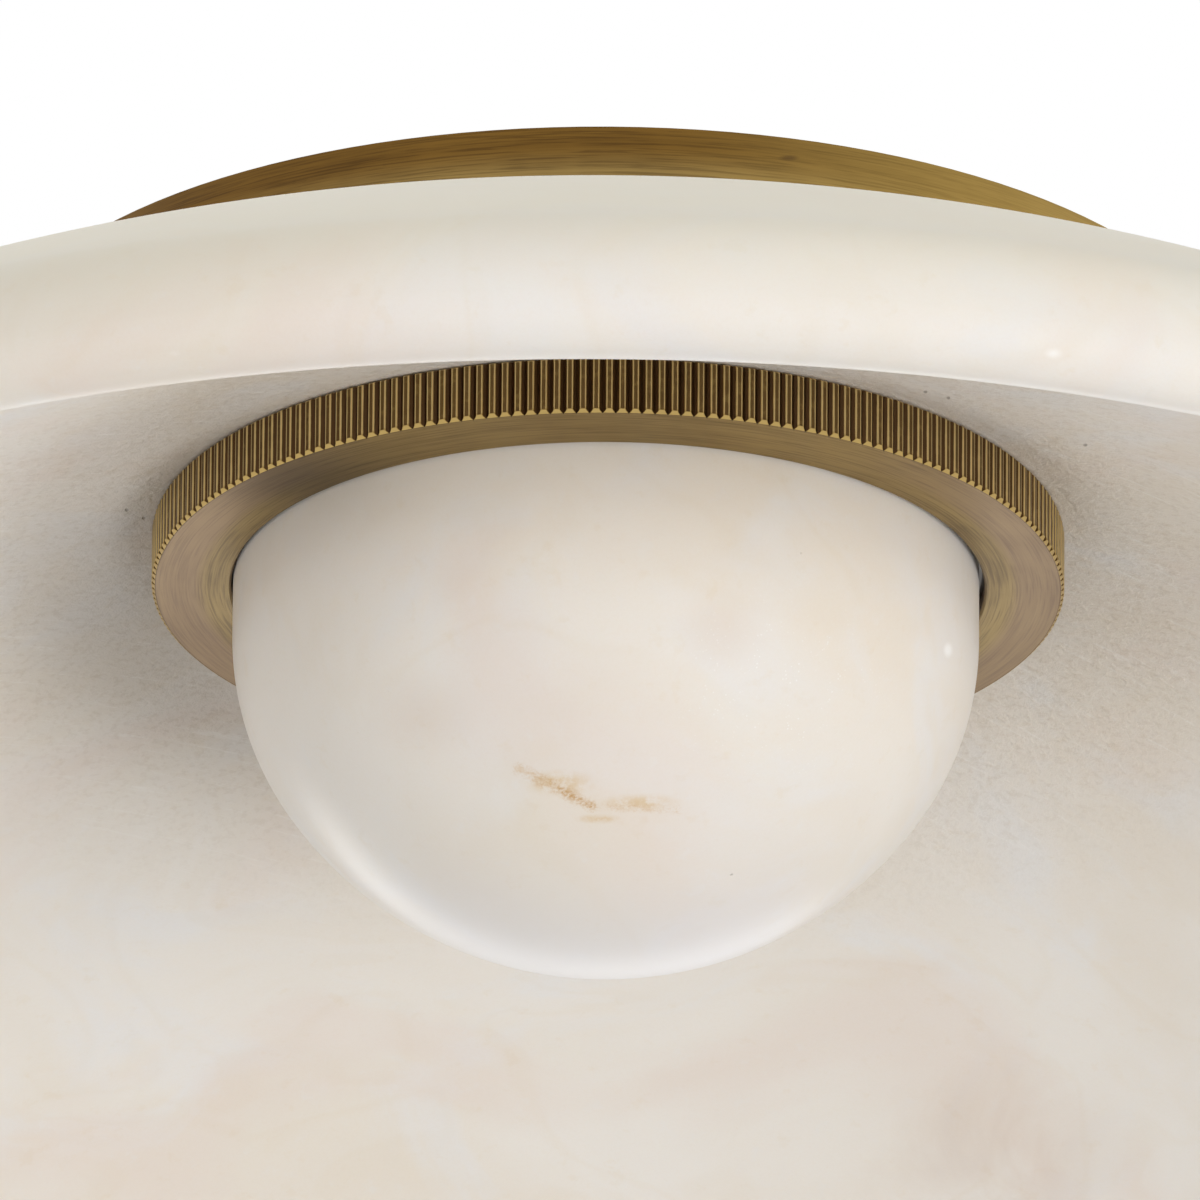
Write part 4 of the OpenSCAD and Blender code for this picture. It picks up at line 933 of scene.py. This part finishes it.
def dish_alabaster():
    """The dish: large soft clouds, and pits and scratches in its hollow."""
    tones = bpy.context.scene.stone_colours
    sheet, point = new_sheet("dish_alabaster_finish")
    ground, large, middle = stone_clouds(sheet, point, DISH_CLOUDS)
    shade, crystal, fleck, pit, turned = stone_grain(sheet, point, ground)
    picture = Picture(sheet, point)
    x, y, z, radius = round_axes(sheet, point)
    from_centre = sheet.point(x, y, z + HOLLOW_CENTRE_DEPTH)
    reach = sheet.vector("LENGTH", from_centre, (0, 0, 0), out=1)
    inside = sheet.soft_step(reach, *HOLLOW_FROM_CENTRE)
    shade = dish_tones(sheet, point, picture, shade, middle, inside)
    hollow = sheet.soft_step(radius, *WORKED_AND_SHADED_REACH) * inside
    shade, scored, cuts, holes = worked_and_shaded_hollow(sheet, point, picture, shade, hollow)
    # Painted highlights: two white glints on the lip, the left one fainter.
    left, right = picture.patch(*LEFT_GLINT, soft=1.0), picture.patch(*RIGHT_GLINT, soft=1.0)
    glint = sheet.highest(right, left * 0.3)
    glint = glint * sheet.soft_step(radius, *GLINT_REACH) * sheet.soft_step(y, *GLINT_FRONT)
    shade = sheet.blend(glint * 0.5, shade, tones.crystal)
    polish = 0.32 + crystal * 0.1 + large * 0.08
    bump = sheet.relief(fleck, depth=0.00007, strength=0.35)
    bump = sheet.relief(cuts * hollow, depth=0.0005, strength=0.9, below=bump)
    bump = sheet.relief(turned + scored * 0.8, depth=0.00002, strength=0.4, below=bump)
    bump = sheet.relief(sheet.highest(pit, holes), depth=-0.0003, strength=0.8, below=bump)
    return sheet.finish(
        shade, polish, bump, Subsurface_Weight=0.12, Subsurface_Scale=0.006,
        Subsurface_Radius=(1.0, 0.8, 0.6), IOR=1.5, Specular_IOR_Level=0.38,
    )


def rust_vein(sheet, point, picture, shade, front):
    """The iron stain low in front: a pale halo, gritty strokes and a darker heart."""
    tones = bpy.context.scene.stone_colours
    ragged = sheet.noise(point, 420.0, detail=4.0, rough=0.7)
    wander = sheet.noise(point, 2300.0, rough=0.65)
    grit = wander * 0.55 + ragged * 0.45
    halo = sheet.highest(*(picture.patch(*mark, soft=0.9) for mark in VEIN_HALOS))
    halo = halo * sheet.soft_step(ragged, 0.3, 0.62)
    shade = sheet.tint(halo * front * 0.8, shade, tones.halo)
    slant = picture.stroke(*VEIN_SLANT)
    level = picture.stroke(*VEIN_LEVEL) * 0.5
    hem = picture.stroke(*VEIN_HEM) * 0.2
    spread = sheet.highest(slant, level, hem)
    vein = sheet.soft_step(spread * 0.24 + grit, 0.5, 0.95) * sheet.soft_step(spread, 0.0, 0.5)
    shade = sheet.tint(vein * front * 0.8, shade, tones.rust)
    heart = picture.stroke(*VEIN_HEART) * sheet.soft_step(grit, 0.4, 0.62) * front
    return sheet.tint(heart * 0.85, shade, tones.rust)


def bright_crystals(sheet, point, picture, shade, fleck, front):
    """A field of crystals lit by painted highlight, and one larger fleck beside it."""
    tones = bpy.context.scene.stone_colours
    # Painted highlight: crystals in one field are lit white as if catching the light.
    grains = sheet.soft_step(sheet.grains(point, 1250.0), 0.24, 0.12)
    field = picture.patch(*CRYSTAL_FIELD, soft=0.9) * front
    bright = grains * sheet.soft_step(fleck, 0.46, 0.58) * field
    bright = sheet.highest(bright * 0.7, picture.patch(*BRIGHT_FLECK, soft=0.8))
    return sheet.blend(bright * 0.8, shade, tones.crystal)


def dome_alabaster():
    """The dome: a closer polish, one rust vein low in front and crystals with painted highlight.
    """
    tones = bpy.context.scene.stone_colours
    sheet, point = new_sheet("dome_alabaster_finish")
    ground, large, _ = stone_clouds(sheet, point, DOME_CLOUDS)
    shade, crystal, fleck, pit, turned = stone_grain(sheet, point, ground)
    picture = Picture(sheet, point)
    _, y, z, radius = round_axes(sheet, point)
    front = sheet.soft_step(picture.depth, *DOME_TURNED_FORWARD)
    shade = rust_vein(sheet, point, picture, shade, front)
    left, right = (picture.patch(*mark, soft=1.0) for mark in DOME_BLUSHES)
    shade = sheet.tint((left + right) * front * 0.3, shade, tones.rose)
    shade = bright_crystals(sheet, point, picture, shade, fleck, front)
    # Painted shade: the flange hidden in the ring is darkened.
    painted_seat_shade = sheet.soft_step(radius, *SEAT_REACH) * sheet.soft_step(z, *SEAT_HEIGHT)
    shade = sheet.tint(painted_seat_shade, shade, tones.painted_seat_shade)
    # Painted reflection: the dome's lowest part is cooled and paled, as if mirroring the white
    # below.
    foot = sheet.soft_step(z, *FOOT_HEIGHT) * sheet.soft_step(y, *FOOT_BACK)
    shade = sheet.blend(foot * 0.7, shade, tones.foot)
    polish = 0.22 + foot * 0.1 + crystal * 0.13 + large * 0.05
    sparkle = sheet.highest(*(picture.stroke(*mark) for mark in SPARKLING_RIM)) * front * crystal
    bump = sheet.relief(fleck, depth=0.00005, strength=0.3)
    bump = sheet.relief(turned, depth=0.000012, strength=0.35, below=bump)
    bump = sheet.relief(sparkle, depth=0.00004, strength=0.5, below=bump)
    bump = sheet.relief(pit, depth=-0.0002, strength=0.8, below=bump)
    return sheet.finish(
        shade, polish, bump, Subsurface_Weight=0.12, Subsurface_Scale=0.005,
        Subsurface_Radius=(1.0, 0.8, 0.6), IOR=1.5,
    )


def finishes():
    """One function for each of the record's material slots."""
    tones = bpy.context.scene.fitting_colours
    charcoal = linear(52, 52, 54)
    return {
        "antique_brass": antique_brass,
        "plain_brass": plain_brass,
        "zinc_steel": zinc_steel,
        "dish_alabaster": dish_alabaster,
        "dome_alabaster": dome_alabaster,
        "grey_felt": felt,
        "cork": cork,
        "natural_nylon": lambda: moulded(
            "natural_nylon_finish", tones.nylon, linear(214, 206, 182), rough=0.42, grain=900.0,
            Subsurface_Weight=0.2, Subsurface_Scale=0.002,
        ),
        "black_plastic": lambda: moulded(
            "black_plastic_finish", tones.black, charcoal, rough=0.44
        ),
        "ivory_plastic": lambda: moulded(
            "ivory_plastic_finish", tones.ivory, linear(202, 190, 158), rough=0.36
        ),
        "black_rubber": lambda: moulded(
            "black_rubber_finish", tones.black, linear(66, 64, 62), rough=0.72, grain=2200.0
        ),
        "tinned_copper": tinned_copper,
        "green_steel": painted_screw,
        "green_insulation": lambda: insulation(
            "green_insulation_finish", tones.green, linear(28, 92, 48)
        ),
        "black_insulation": lambda: insulation("black_insulation_finish", tones.black, charcoal),
        "white_insulation": lambda: insulation(
            "white_insulation_finish", tones.white, linear(208, 206, 198)
        ),
        "red_insulation": lambda: insulation(
            "red_insulation_finish", tones.red, linear(136, 22, 22)
        ),
        "plain_aluminium": plain_aluminium,
        "green_board": lambda: circuit_board(
            "green_board_finish", tones.circuit, linear(48, 122, 76), scale=240.0, rough=0.32
        ),
        "white_board": lambda: circuit_board(
            "white_board_finish", tones.white, linear(206, 208, 206), scale=150.0, rough=0.4
        ),
        "thermal_pad": thermal_pad,
        "yellow_phosphor": chip_face,
        "clear_silicone": clear_silicone,
        "brown_fibre": pressed_fibre,
    }


def finish_of(slot):
    """The finish of a slot, made the first time that it is asked for."""
    made = bpy.data.materials.get(slot + "_finish")
    return made or finishes()[slot]()


def dress_nodes(names):
    """Gives each of these frame nodes the finish of its own slot."""
    for name in names:
        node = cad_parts[name]
        for place in node.material_slots:
            place.material = finish_of(place.material.name.split(".")[0])


def touching_centre(point, other, reach):
    """Height of the centre, on the axis, of the circle through point that touches the circle
    of radius reach round other, from outside, or from inside where reach is negative."""
    slope = (point[1] - other[1]) / reach
    square = other[0] ** 2 - point[0] ** 2 + other[1] ** 2 - point[1] ** 2 - reach**2
    offset = square / (2 * reach)
    a = 1 - slope**2
    b = -2 * (point[1] + offset * slope)
    c = point[0] ** 2 + point[1] ** 2 - offset**2
    root = math.sqrt(b * b - 4 * a * c)
    roots = ((root - b) / (2 * a), (-root - b) / (2 * a))
    return roots[0] if offset + slope * roots[0] > 0 else roots[1]


def arc(centre, radius, start, end, steps):
    """Points along a circle in the section plane, between two angles in radians."""
    angles = [start + (end - start) * i / steps for i in range(steps + 1)]
    return [(centre[0] + radius * math.cos(a), centre[1] + radius * math.sin(a)) for a in angles]


def span(start, end, steps):
    """Points along a straight line, without its end."""
    return [
        (start[0] + (end[0] - start[0]) * i / steps, start[1] + (end[1] - start[1]) * i / steps)
        for i in range(steps)
    ]


def mesh_piece(name, points, faces, notes=None):
    """A smooth mesh with sharp corners kept, and with the numbers that its finish reads."""
    mesh = bpy.data.meshes.new(name)
    mesh.from_pydata([tuple(p) for p in points], [], faces)
    mesh.validate()
    for note, values in (notes or {}).items():
        attribute = mesh.attributes.new(note, "FLOAT", "POINT")
        attribute.data.foreach_set("value", np.asarray(values, np.float32))
    mesh.shade_smooth()
    mesh.set_sharp_from_angle(angle=SHARP_ANGLE)
    piece = bpy.data.objects.new(name, mesh)
    bpy.context.scene.collection.objects.link(piece)
    return piece


def turn_section(name, section, steps, closed=True):
    """Turns a section, a list of (radius, height), round the axis. It runs with the stone or
    metal on its right. One that isn't closed starts and ends on the axis."""
    rings = section if closed else section[1:-1]
    count = len(rings)
    angles = np.arange(steps) * (2 * math.pi / steps)
    radii, heights = np.array(rings).T
    points = np.stack(
        [
            np.outer(radii, np.cos(angles)),
            np.outer(radii, np.sin(angles)),
            np.repeat(heights[:, None], steps, axis=1),
        ],
        axis=2,
    ).reshape(-1, 3)
    points = [tuple(p) for p in points]
    faces = []
    for i in range(count if closed else count - 1):
        here, there = i * steps, (i + 1) % count * steps
        for j in range(steps):
            k = (j + 1) % steps
            faces.append((here + j, there + j, there + k, here + k))
    if not closed:
        first, last = len(points), len(points) + 1
        points += [(0.0, 0.0, section[0][1]), (0.0, 0.0, section[-1][1])]
        end = (count - 1) * steps
        for j in range(steps):
            k = (j + 1) % steps
            faces.append((first, j, k))
            faces.append((last, end + k, end + j))
    return mesh_piece(name, points, faces)


def settle(piece, node, body, slot):
    """Lets a redrawn piece stand for its frame node, after a look at its size."""
    low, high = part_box(node)
    corners = np.array([tuple(v.co) for v in piece.data.vertices])
    off = max(np.abs(corners.min(0) - low).max(), np.abs(corners.max(0) - high).max())
    if off > SIZE_LIMIT:
        raise RuntimeError(f"{piece.name} is {off / MM:.2f} mm off the size of {node}")
    piece.data.materials.append(finish_of(slot))
    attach(piece, body)
    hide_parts(node)


def dish_section(sizes):
    """Section of the dish, from the hub's hole over its outside and back through its hollow."""
    edge = (sizes.radius - sizes.edge_round, -sizes.edge_depth)
    lip = (sizes.radius - sizes.lip_round, -sizes.edge_depth)
    land = (sizes.land_radius, -sizes.land_depth)
    hub = (sizes.hub_radius, -sizes.hub_depth)
    outer = touching_centre(land, edge, -sizes.edge_round)
    inner = touching_centre(hub, lip, sizes.lip_round)
    outer_start = math.atan2(land[1] - outer, land[0])
    outer_end = math.atan2(edge[1] - outer, edge[0])
    inner_start = math.atan2(lip[1] - inner, lip[0])
    inner_end = math.atan2(hub[1] - inner, hub[0])
    soft = 0.4 * MM
    hole_low, hole_top = (sizes.hole_radius, hub[1]), (sizes.hole_radius, land[1])
    crown = math.hypot(land[0], land[1] - outer)
    hollow = math.hypot(hub[0], hub[1] - inner)
    section = span(hole_low, hole_top, steps=4)
    section += span(hole_top, (land[0] - soft, land[1]), steps=24)
    section += [(land[0] - soft, land[1])]
    section += arc((0, outer), crown, outer_start, outer_end, steps=64)
    section += arc(edge, sizes.edge_round, outer_end, 0.0, steps=20)[1:]
    section += arc(lip, sizes.lip_round, 0.0, inner_start - math.pi, steps=36)[1:]
    section += arc((0, inner), hollow, inner_start, inner_end, steps=72)[1:]
    section += span(hub, hole_low, steps=16)[1:]
    return section


def dome_section(sizes):
    """Section of the dome, from its lowest point up the outside and back down the inside."""
    shoulder = (sizes.radius - sizes.shoulder_round, -sizes.shoulder_depth)
    rise = sizes.lowest - sizes.shoulder_depth
    crown = (shoulder[0] ** 2 + rise**2 - sizes.shoulder_round**2) / (
        2 * (rise - sizes.shoulder_round)
    )
    middle = (0.0, crown - sizes.lowest)
    bend = math.atan2(shoulder[1] - middle[1], shoulder[0])
    down = -math.pi / 2
    inside = sizes.radius - sizes.wall
    top, low = -sizes.flange_top, -sizes.flange_low
    section = arc(middle, crown, down, bend, steps=56)
    section += arc(shoulder, sizes.shoulder_round, bend, 0.0, steps=28)[1:]
    section += span((sizes.radius, shoulder[1]), (sizes.radius, low), steps=8)[1:]
    section += [(sizes.radius, low), (sizes.flange_radius, low)]
    section += [(sizes.flange_radius, top), (inside, top)]
    section += span((inside, top), (inside, shoulder[1]), steps=8)[1:]
    section += arc(shoulder, sizes.shoulder_round - sizes.wall, 0.0, bend, steps=28)
    section += arc(middle, crown - sizes.wall, bend, down, steps=56)[1:]
    section[0] = (0.0, section[0][1])
    section[-1] = (0.0, section[-1][1])
    return section


def ring_columns(sizes):
    """Places along one pitch, each with its radius, its wear and its depth in the groove."""
    half = sizes.tooth_share / 2
    foot = half + sizes.flank_share
    tip, root = sizes.radius, sizes.radius - sizes.tooth_depth
    flat, turning, corner, floor = 0.13, 0.065, 0.012, 0.07
    side = [
        (half - flat, tip, 0.1, 0.0),
        (half - turning, tip, 0.9, 0.0),
        (half - corner, tip - 0.025 * MM, 1.0, 0.0),
        (half + corner, tip - 0.09 * MM, 1.0, 0.1),
        (foot - corner, tip - 0.4 * sizes.tooth_depth, 0.2, 0.8),
        (foot + floor, tip - 0.66 * sizes.tooth_depth, 0.0, 1.0),
    ]
    mirrored = [(-place, *rest) for place, *rest in reversed(side)]
    return [*mirrored, (0.0, tip, 0.0, 0.0), *side, (0.5, root, 0.0, 1.0)]


def ring_profile(sizes, radius, wear, depth):
    """One column of the ring, from its top face down its edge, across its underside and up its
    inside: (radius, height, wear, depth, tooth) for each point."""
    low_face = sizes.radius - sizes.low_chamfer
    top_face = sizes.radius - sizes.top_chamfer
    least_cut, fade = 0.02 * MM, 0.16 * MM
    dark_line, clean_from, margin = 0.12 * MM, 0.3 * MM, 3 * MM
    low_cut = -sizes.underside + (radius - low_face)
    top_cut = -sizes.top - max(radius - top_face, least_cut)
    return [
        (sizes.thread_radius, -sizes.top, 0.0, 0.3, 0.0),
        (min(radius, top_face), -sizes.top, 0.7, 0.0, 0.0),
        (radius, top_cut, max(wear, 0.4 * (1 - depth)), depth, 1.0),
        (radius, top_cut - fade, wear, depth, 1.0),
        (radius, low_cut + fade, wear, depth, 1.0),
        (radius, low_cut, 1.0, depth * 0.6, 1.0),
        (low_face, -sizes.underside, 0.9, 0.0, 0.6),
        (low_face - dark_line, -sizes.underside, 0.0, 1.0, 0.7),
        (low_face - clean_from, -sizes.underside, 0.0, 0.0, 0.0),
        (low_face - margin, -sizes.underside, 0.0, 0.0, 0.0),
        (sizes.bore_radius + margin, -sizes.underside, 0.0, 0.0, 0.0),
        (sizes.bore_radius + sizes.bore_bevel, -sizes.underside, 0.3, 0.0, 0.0),
        (sizes.bore_radius, sizes.bore_bevel - sizes.underside, 0.1, 0.6, 0.6),
        (sizes.bore_radius, 2 * sizes.bore_bevel - sizes.underside, 0.0, 1.0, 1.0),
        (sizes.bore_radius, -sizes.lip_top, 0.0, 1.0, 1.0),
        (sizes.thread_radius, -sizes.lip_top, 0.0, 1.0, 1.0),
    ]


class CEILINGLIGHT_OT_dish(bpy.types.Operator):
    """Builds the alabaster dish"""

    bl_idname = "ceiling_light.dish"
    bl_label = "Alabaster Dish"

    def execute(self, context):
        section = dish_section(context.scene.dish_sizes)
        piece = turn_section("dish_stone", section, DISH_STEPS)
        settle(piece, "alabaster_dish", "fixture", "dish_alabaster")
        return {"FINISHED"}


class CEILINGLIGHT_OT_dome(bpy.types.Operator):
    """Builds the alabaster dome"""

    bl_idname = "ceiling_light.dome"
    bl_label = "Alabaster Dome"

    def execute(self, context):
        sizes = context.scene.dome_sizes
        section = dome_section(sizes)
        piece = turn_section("dome_stone", section, DOME_STEPS, closed=False)
        for corner in piece.data.vertices:
            corner.co.x -= sizes.seat_play
        settle(piece, "alabaster_dome", "dome", "dome_alabaster")
        return {"FINISHED"}


class CEILINGLIGHT_OT_ring(bpy.types.Operator):
    """Builds the coin-edged brass ring, tooth by tooth"""

    bl_idname = "ceiling_light.ring"
    bl_label = "Coin-Edged Ring"

    def execute(self, context):
        sizes = context.scene.ring_sizes
        places = ring_columns(sizes)
        points = []
        notes = {"worn_edge": [], "groove_depth": [], "tooth_zone": []}
        for i in range(sizes.teeth):
            for place, radius, worn, deep in places:
                angle = (i + place) * 2 * math.pi / sizes.teeth
                for reach, height, *found in ring_profile(sizes, radius, worn, deep):
                    points.append((reach * math.cos(angle), reach * math.sin(angle), height))
                    for values, value in zip(notes.values(), found):
                        values.append(value)
        rows = len(ring_profile(sizes, sizes.radius, 0.0, 0.0))
        columns = len(points) // rows
        faces = []
        for i in range(columns):
            here, there = i * rows, (i + 1) % columns * rows
            for j in range(rows):
                k = (j + 1) % rows
                faces.append((here + j, here + k, there + k, there + j))
        piece = mesh_piece("ring_brass", points, faces, notes)
        settle(piece, "knurled_ring", "ring", "antique_brass")
        return {"FINISHED"}


class CEILINGLIGHT_OT_canopy(bpy.types.Operator):
    """Finishes the canopy, its side screws and the bracket behind it"""

    bl_idname = "ceiling_light.canopy"
    bl_label = "Canopy and Bracket"

    def execute(self, context):
        dress_nodes(
            ["ceiling_canopy", "canopy_side_screws", "mounting_bracket", "reinforcing_plate"]
        )
        return {"FINISHED"}


class CEILINGLIGHT_OT_stack(bpy.types.Operator):
    """Finishes the nipple, nuts, washers and gaskets that clamp the stone"""

    bl_idname = "ceiling_light.stack"
    bl_label = "Nipple, Nuts and Gaskets"

    def execute(self, context):
        dress_nodes(
            [
                "top_gasket", "hub_bushing", "threaded_nipple", "upper_washer",
                "upper_lock_nut", "lower_gasket", "gallery", "lower_washer",
                "lower_lock_nut", "nipple_bushings", "dome_gasket", "slip_washer",
            ]
        )
        return {"FINISHED"}


class CEILINGLIGHT_OT_wiring(bpy.types.Operator):
    """Finishes the terminal block, the ground lug and the wires"""

    bl_idname = "ceiling_light.wiring"
    bl_label = "Terminals and Wires"

    def execute(self, context):
        dress_nodes(
            [
                "terminal_block", "terminal_screws", "ground_lug", "ground_screw",
                "bracket_ground_screw",
            ]
        )
        wires = [
            "ground_wire", "line_wire", "neutral_wire", "led_wire_positive", "led_wire_negative"
        ]
        dress_nodes(wires)
        for name in wires:
            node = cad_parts[name]
            joined = node.modifiers.new("joined", "WELD")
            joined.merge_threshold = WELD_REACH
            rounded = node.modifiers.new("rounded", "SUBSURF")
            rounded.levels = rounded.render_levels = WIRE_SMOOTHING
        return {"FINISHED"}


class CEILINGLIGHT_OT_source(bpy.types.Operator):
    """Finishes the heat sink, the driver and the light board"""

    bl_idname = "ceiling_light.source"
    bl_label = "Light Source"

    def execute(self, context):
        dress_nodes(
            [
                "standoffs", "heat_sink", "sink_screws", "sink_grommet", "driver_case",
                "driver_board", "driver_lid", "driver_screws", "thermal_pad", "led_board",
                "led_chips", "led_connector", "board_screws",
            ]
        )
        return {"FINISHED"}


def camera_axes(studio):
    """The directions right, up and away of the picture, in the object's own frame."""
    side = Vector((1, 0, 0))
    rise = Vector((0, -math.sin(studio.rise), math.cos(studio.rise)))
    away = Vector((0, math.cos(studio.rise), math.sin(studio.rise)))
    turn, lean = math.cos(studio.roll), math.sin(studio.roll)
    return side * turn + rise * lean, rise * turn - side * lean, away


def place_camera(scene):
    """The camera at the picture's own place, with its lens set to the picture's frame."""
    studio = scene.studio_sizes
    right, up, away = camera_axes(studio)
    step = scene.ring_sizes.radius / studio.ring_pixels
    ring_middle = Vector((0, 0, -scene.ring_sizes.underside))
    aside = (studio.across - PICTURE_SIDE / 2) * step
    above = (PICTURE_SIDE / 2 - studio.down) * step
    lens = bpy.data.cameras.new("picture_camera")
    lens.lens = lens.sensor_width * studio.distance / (step * PICTURE_SIDE)
    lens.clip_start, lens.clip_end = CAMERA_RANGE
    camera = bpy.data.objects.new("picture_camera", lens)
    place = ring_middle - away * studio.distance - right * aside - up * above
    turn = Matrix((right, up, -away)).transposed().to_4x4()
    camera.matrix_world = Matrix.Translation(place) @ turn
    scene.collection.objects.link(camera)
    scene.camera = camera


def soft_lamp(scene, name, place, size, mirrored):
    """A soft lamp that no view shows, and that polished faces mirror only where it says so."""
    light = bpy.data.lights.new(name + "_light", "AREA")
    light.shape = "RECTANGLE"
    light.size, light.size_y = size
    light.energy = getattr(scene.studio_sizes, name)
    lamp = bpy.data.objects.new(name + "_light", light)
    lamp.location = place
    lamp.rotation_mode = "QUATERNION"
    lamp.rotation_quaternion = (Vector(LAMP_AIM) - Vector(place)).to_track_quat("-Z", "Y")
    lamp.visible_camera = False
    lamp.visible_glossy = mirrored
    scene.collection.objects.link(lamp)


def kinds_of_ray(sheet):
    """Whether a ray comes from the camera, and whether from a mirroring or clear surface."""
    outputs = sheet.node("ShaderNodeLightPath").socket.node.outputs
    mirrored = Value(sheet, outputs["Is Glossy Ray"])
    through = Value(sheet, outputs["Is Transmission Ray"])
    return Value(sheet, outputs["Is Camera Ray"]), sheet.highest(mirrored, through)


def studio_world(scene):
    """White where it is seen, mirrored or looked through, and a weaker light on the object."""
    scene.world = bpy.data.worlds.new("studio")
    sheet = Sheet(scene.world)
    shown = sheet.highest(*kinds_of_ray(sheet))
    ambient = scene.studio_sizes.ambient
    light = sheet.node("ShaderNodeBackground", values={0: (1, 1, 1), 1: ambient})
    white = sheet.node("ShaderNodeBackground", values={0: (1, 1, 1), 1: 1.0})
    both = sheet.node("ShaderNodeMixShader", values={0: shown, 1: light, 2: white})
    sheet.node("ShaderNodeOutputWorld", values={"Surface": both})


def studio_floor(scene):
    """A pale floor far below the ceiling, which hides nothing from a view from below it."""
    depth = scene.studio_sizes.floor_depth
    sides = ((-1, -1), (1, -1), (1, 1), (-1, 1))
    corners = [(x * FLOOR_HALF, y * FLOOR_HALF, -depth) for x, y in sides]
    floor = mesh_piece("studio_floor", corners, [(0, 1, 2, 3)])
    sheet, point = new_sheet("pale_floor")
    cloudy = sheet.noise(point, 1.2)
    shade = sheet.blend(cloudy, linear(244, 243, 241), linear(250, 250, 249))
    plain = sheet.node("ShaderNodeBsdfPrincipled", values={"Base Color": shade, "Roughness": 0.8})
    glow = sheet.node("ShaderNodeEmission", values={"Color": shade, "Strength": 1.0})
    seen, mirrored = kinds_of_ray(sheet)
    bright = sheet.highest(seen * FLOOR_GLOW, mirrored)
    above = sheet.node("ShaderNodeMixShader", values={0: bright, 1: plain, 2: glow})
    clear = sheet.node("ShaderNodeBsdfTransparent")
    geometry = sheet.node("ShaderNodeNewGeometry")
    below = Value(sheet, geometry.socket.node.outputs["Backfacing"])
    mixed = sheet.node("ShaderNodeMixShader", values={0: below, 1: above, 2: clear})
    sheet.node("ShaderNodeOutputMaterial", values={"Surface": mixed})
    floor.data.materials.append(sheet.owner)


class CEILINGLIGHT_OT_stage(bpy.types.Operator):
    """Sets the camera, the soft light, the white world and the pale floor"""

    bl_idname = "ceiling_light.stage"
    bl_label = "Studio"

    def execute(self, context):
        scene = context.scene
        scene.view_settings.view_transform = "Standard"
        studio_world(scene)
        studio_floor(scene)
        for name, (place, size, mirrored) in LAMPS.items():
            soft_lamp(scene, name, place, size, mirrored)
        place_camera(scene)
        return {"FINISHED"}


BUILDERS = (
    CEILINGLIGHT_OT_dish,
    CEILINGLIGHT_OT_dome,
    CEILINGLIGHT_OT_ring,
    CEILINGLIGHT_OT_canopy,
    CEILINGLIGHT_OT_stack,
    CEILINGLIGHT_OT_wiring,
    CEILINGLIGHT_OT_source,
    CEILINGLIGHT_OT_stage,
)

GROUPS = {
    "dish_sizes": DishSizes,
    "dome_sizes": DomeSizes,
    "ring_sizes": RingSizes,
    "brass_colours": BrassColours,
    "stone_colours": StoneColours,
    "fitting_colours": FittingColours,
    "studio_sizes": StudioSizes,
}


class CEILINGLIGHT_PT_panel(bpy.types.Panel):
    """Sizes, colours and builders of the ceiling light"""

    bl_idname = "CEILINGLIGHT_PT_panel"
    bl_label = "Ceiling Light"
    bl_space_type = "VIEW_3D"
    bl_region_type = "UI"
    bl_category = "Ceiling Light"

    def draw(self, context):
        for builder in BUILDERS:
            self.layout.operator(builder.bl_idname)
        for group, kind in GROUPS.items():
            box = self.layout.box()
            box.label(text=group.replace("_", " ").title())
            for name in kind.__annotations__:
                box.prop(getattr(context.scene, group), name)


CLASSES = (*GROUPS.values(), *BUILDERS, CEILINGLIGHT_PT_panel)


def register():
    for kind in CLASSES:
        bpy.utils.register_class(kind)
    for group, kind in GROUPS.items():
        setattr(bpy.types.Scene, group, PointerProperty(type=kind))


def unregister():
    for group in GROUPS:
        delattr(bpy.types.Scene, group)
    for kind in reversed(CLASSES):
        bpy.utils.unregister_class(kind)


def main():
    register()
    for builder in BUILDERS:
        group, name = builder.bl_idname.split(".")
        getattr(getattr(bpy.ops, group), name)()
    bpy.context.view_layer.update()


if __name__ == "__main__":
    main()
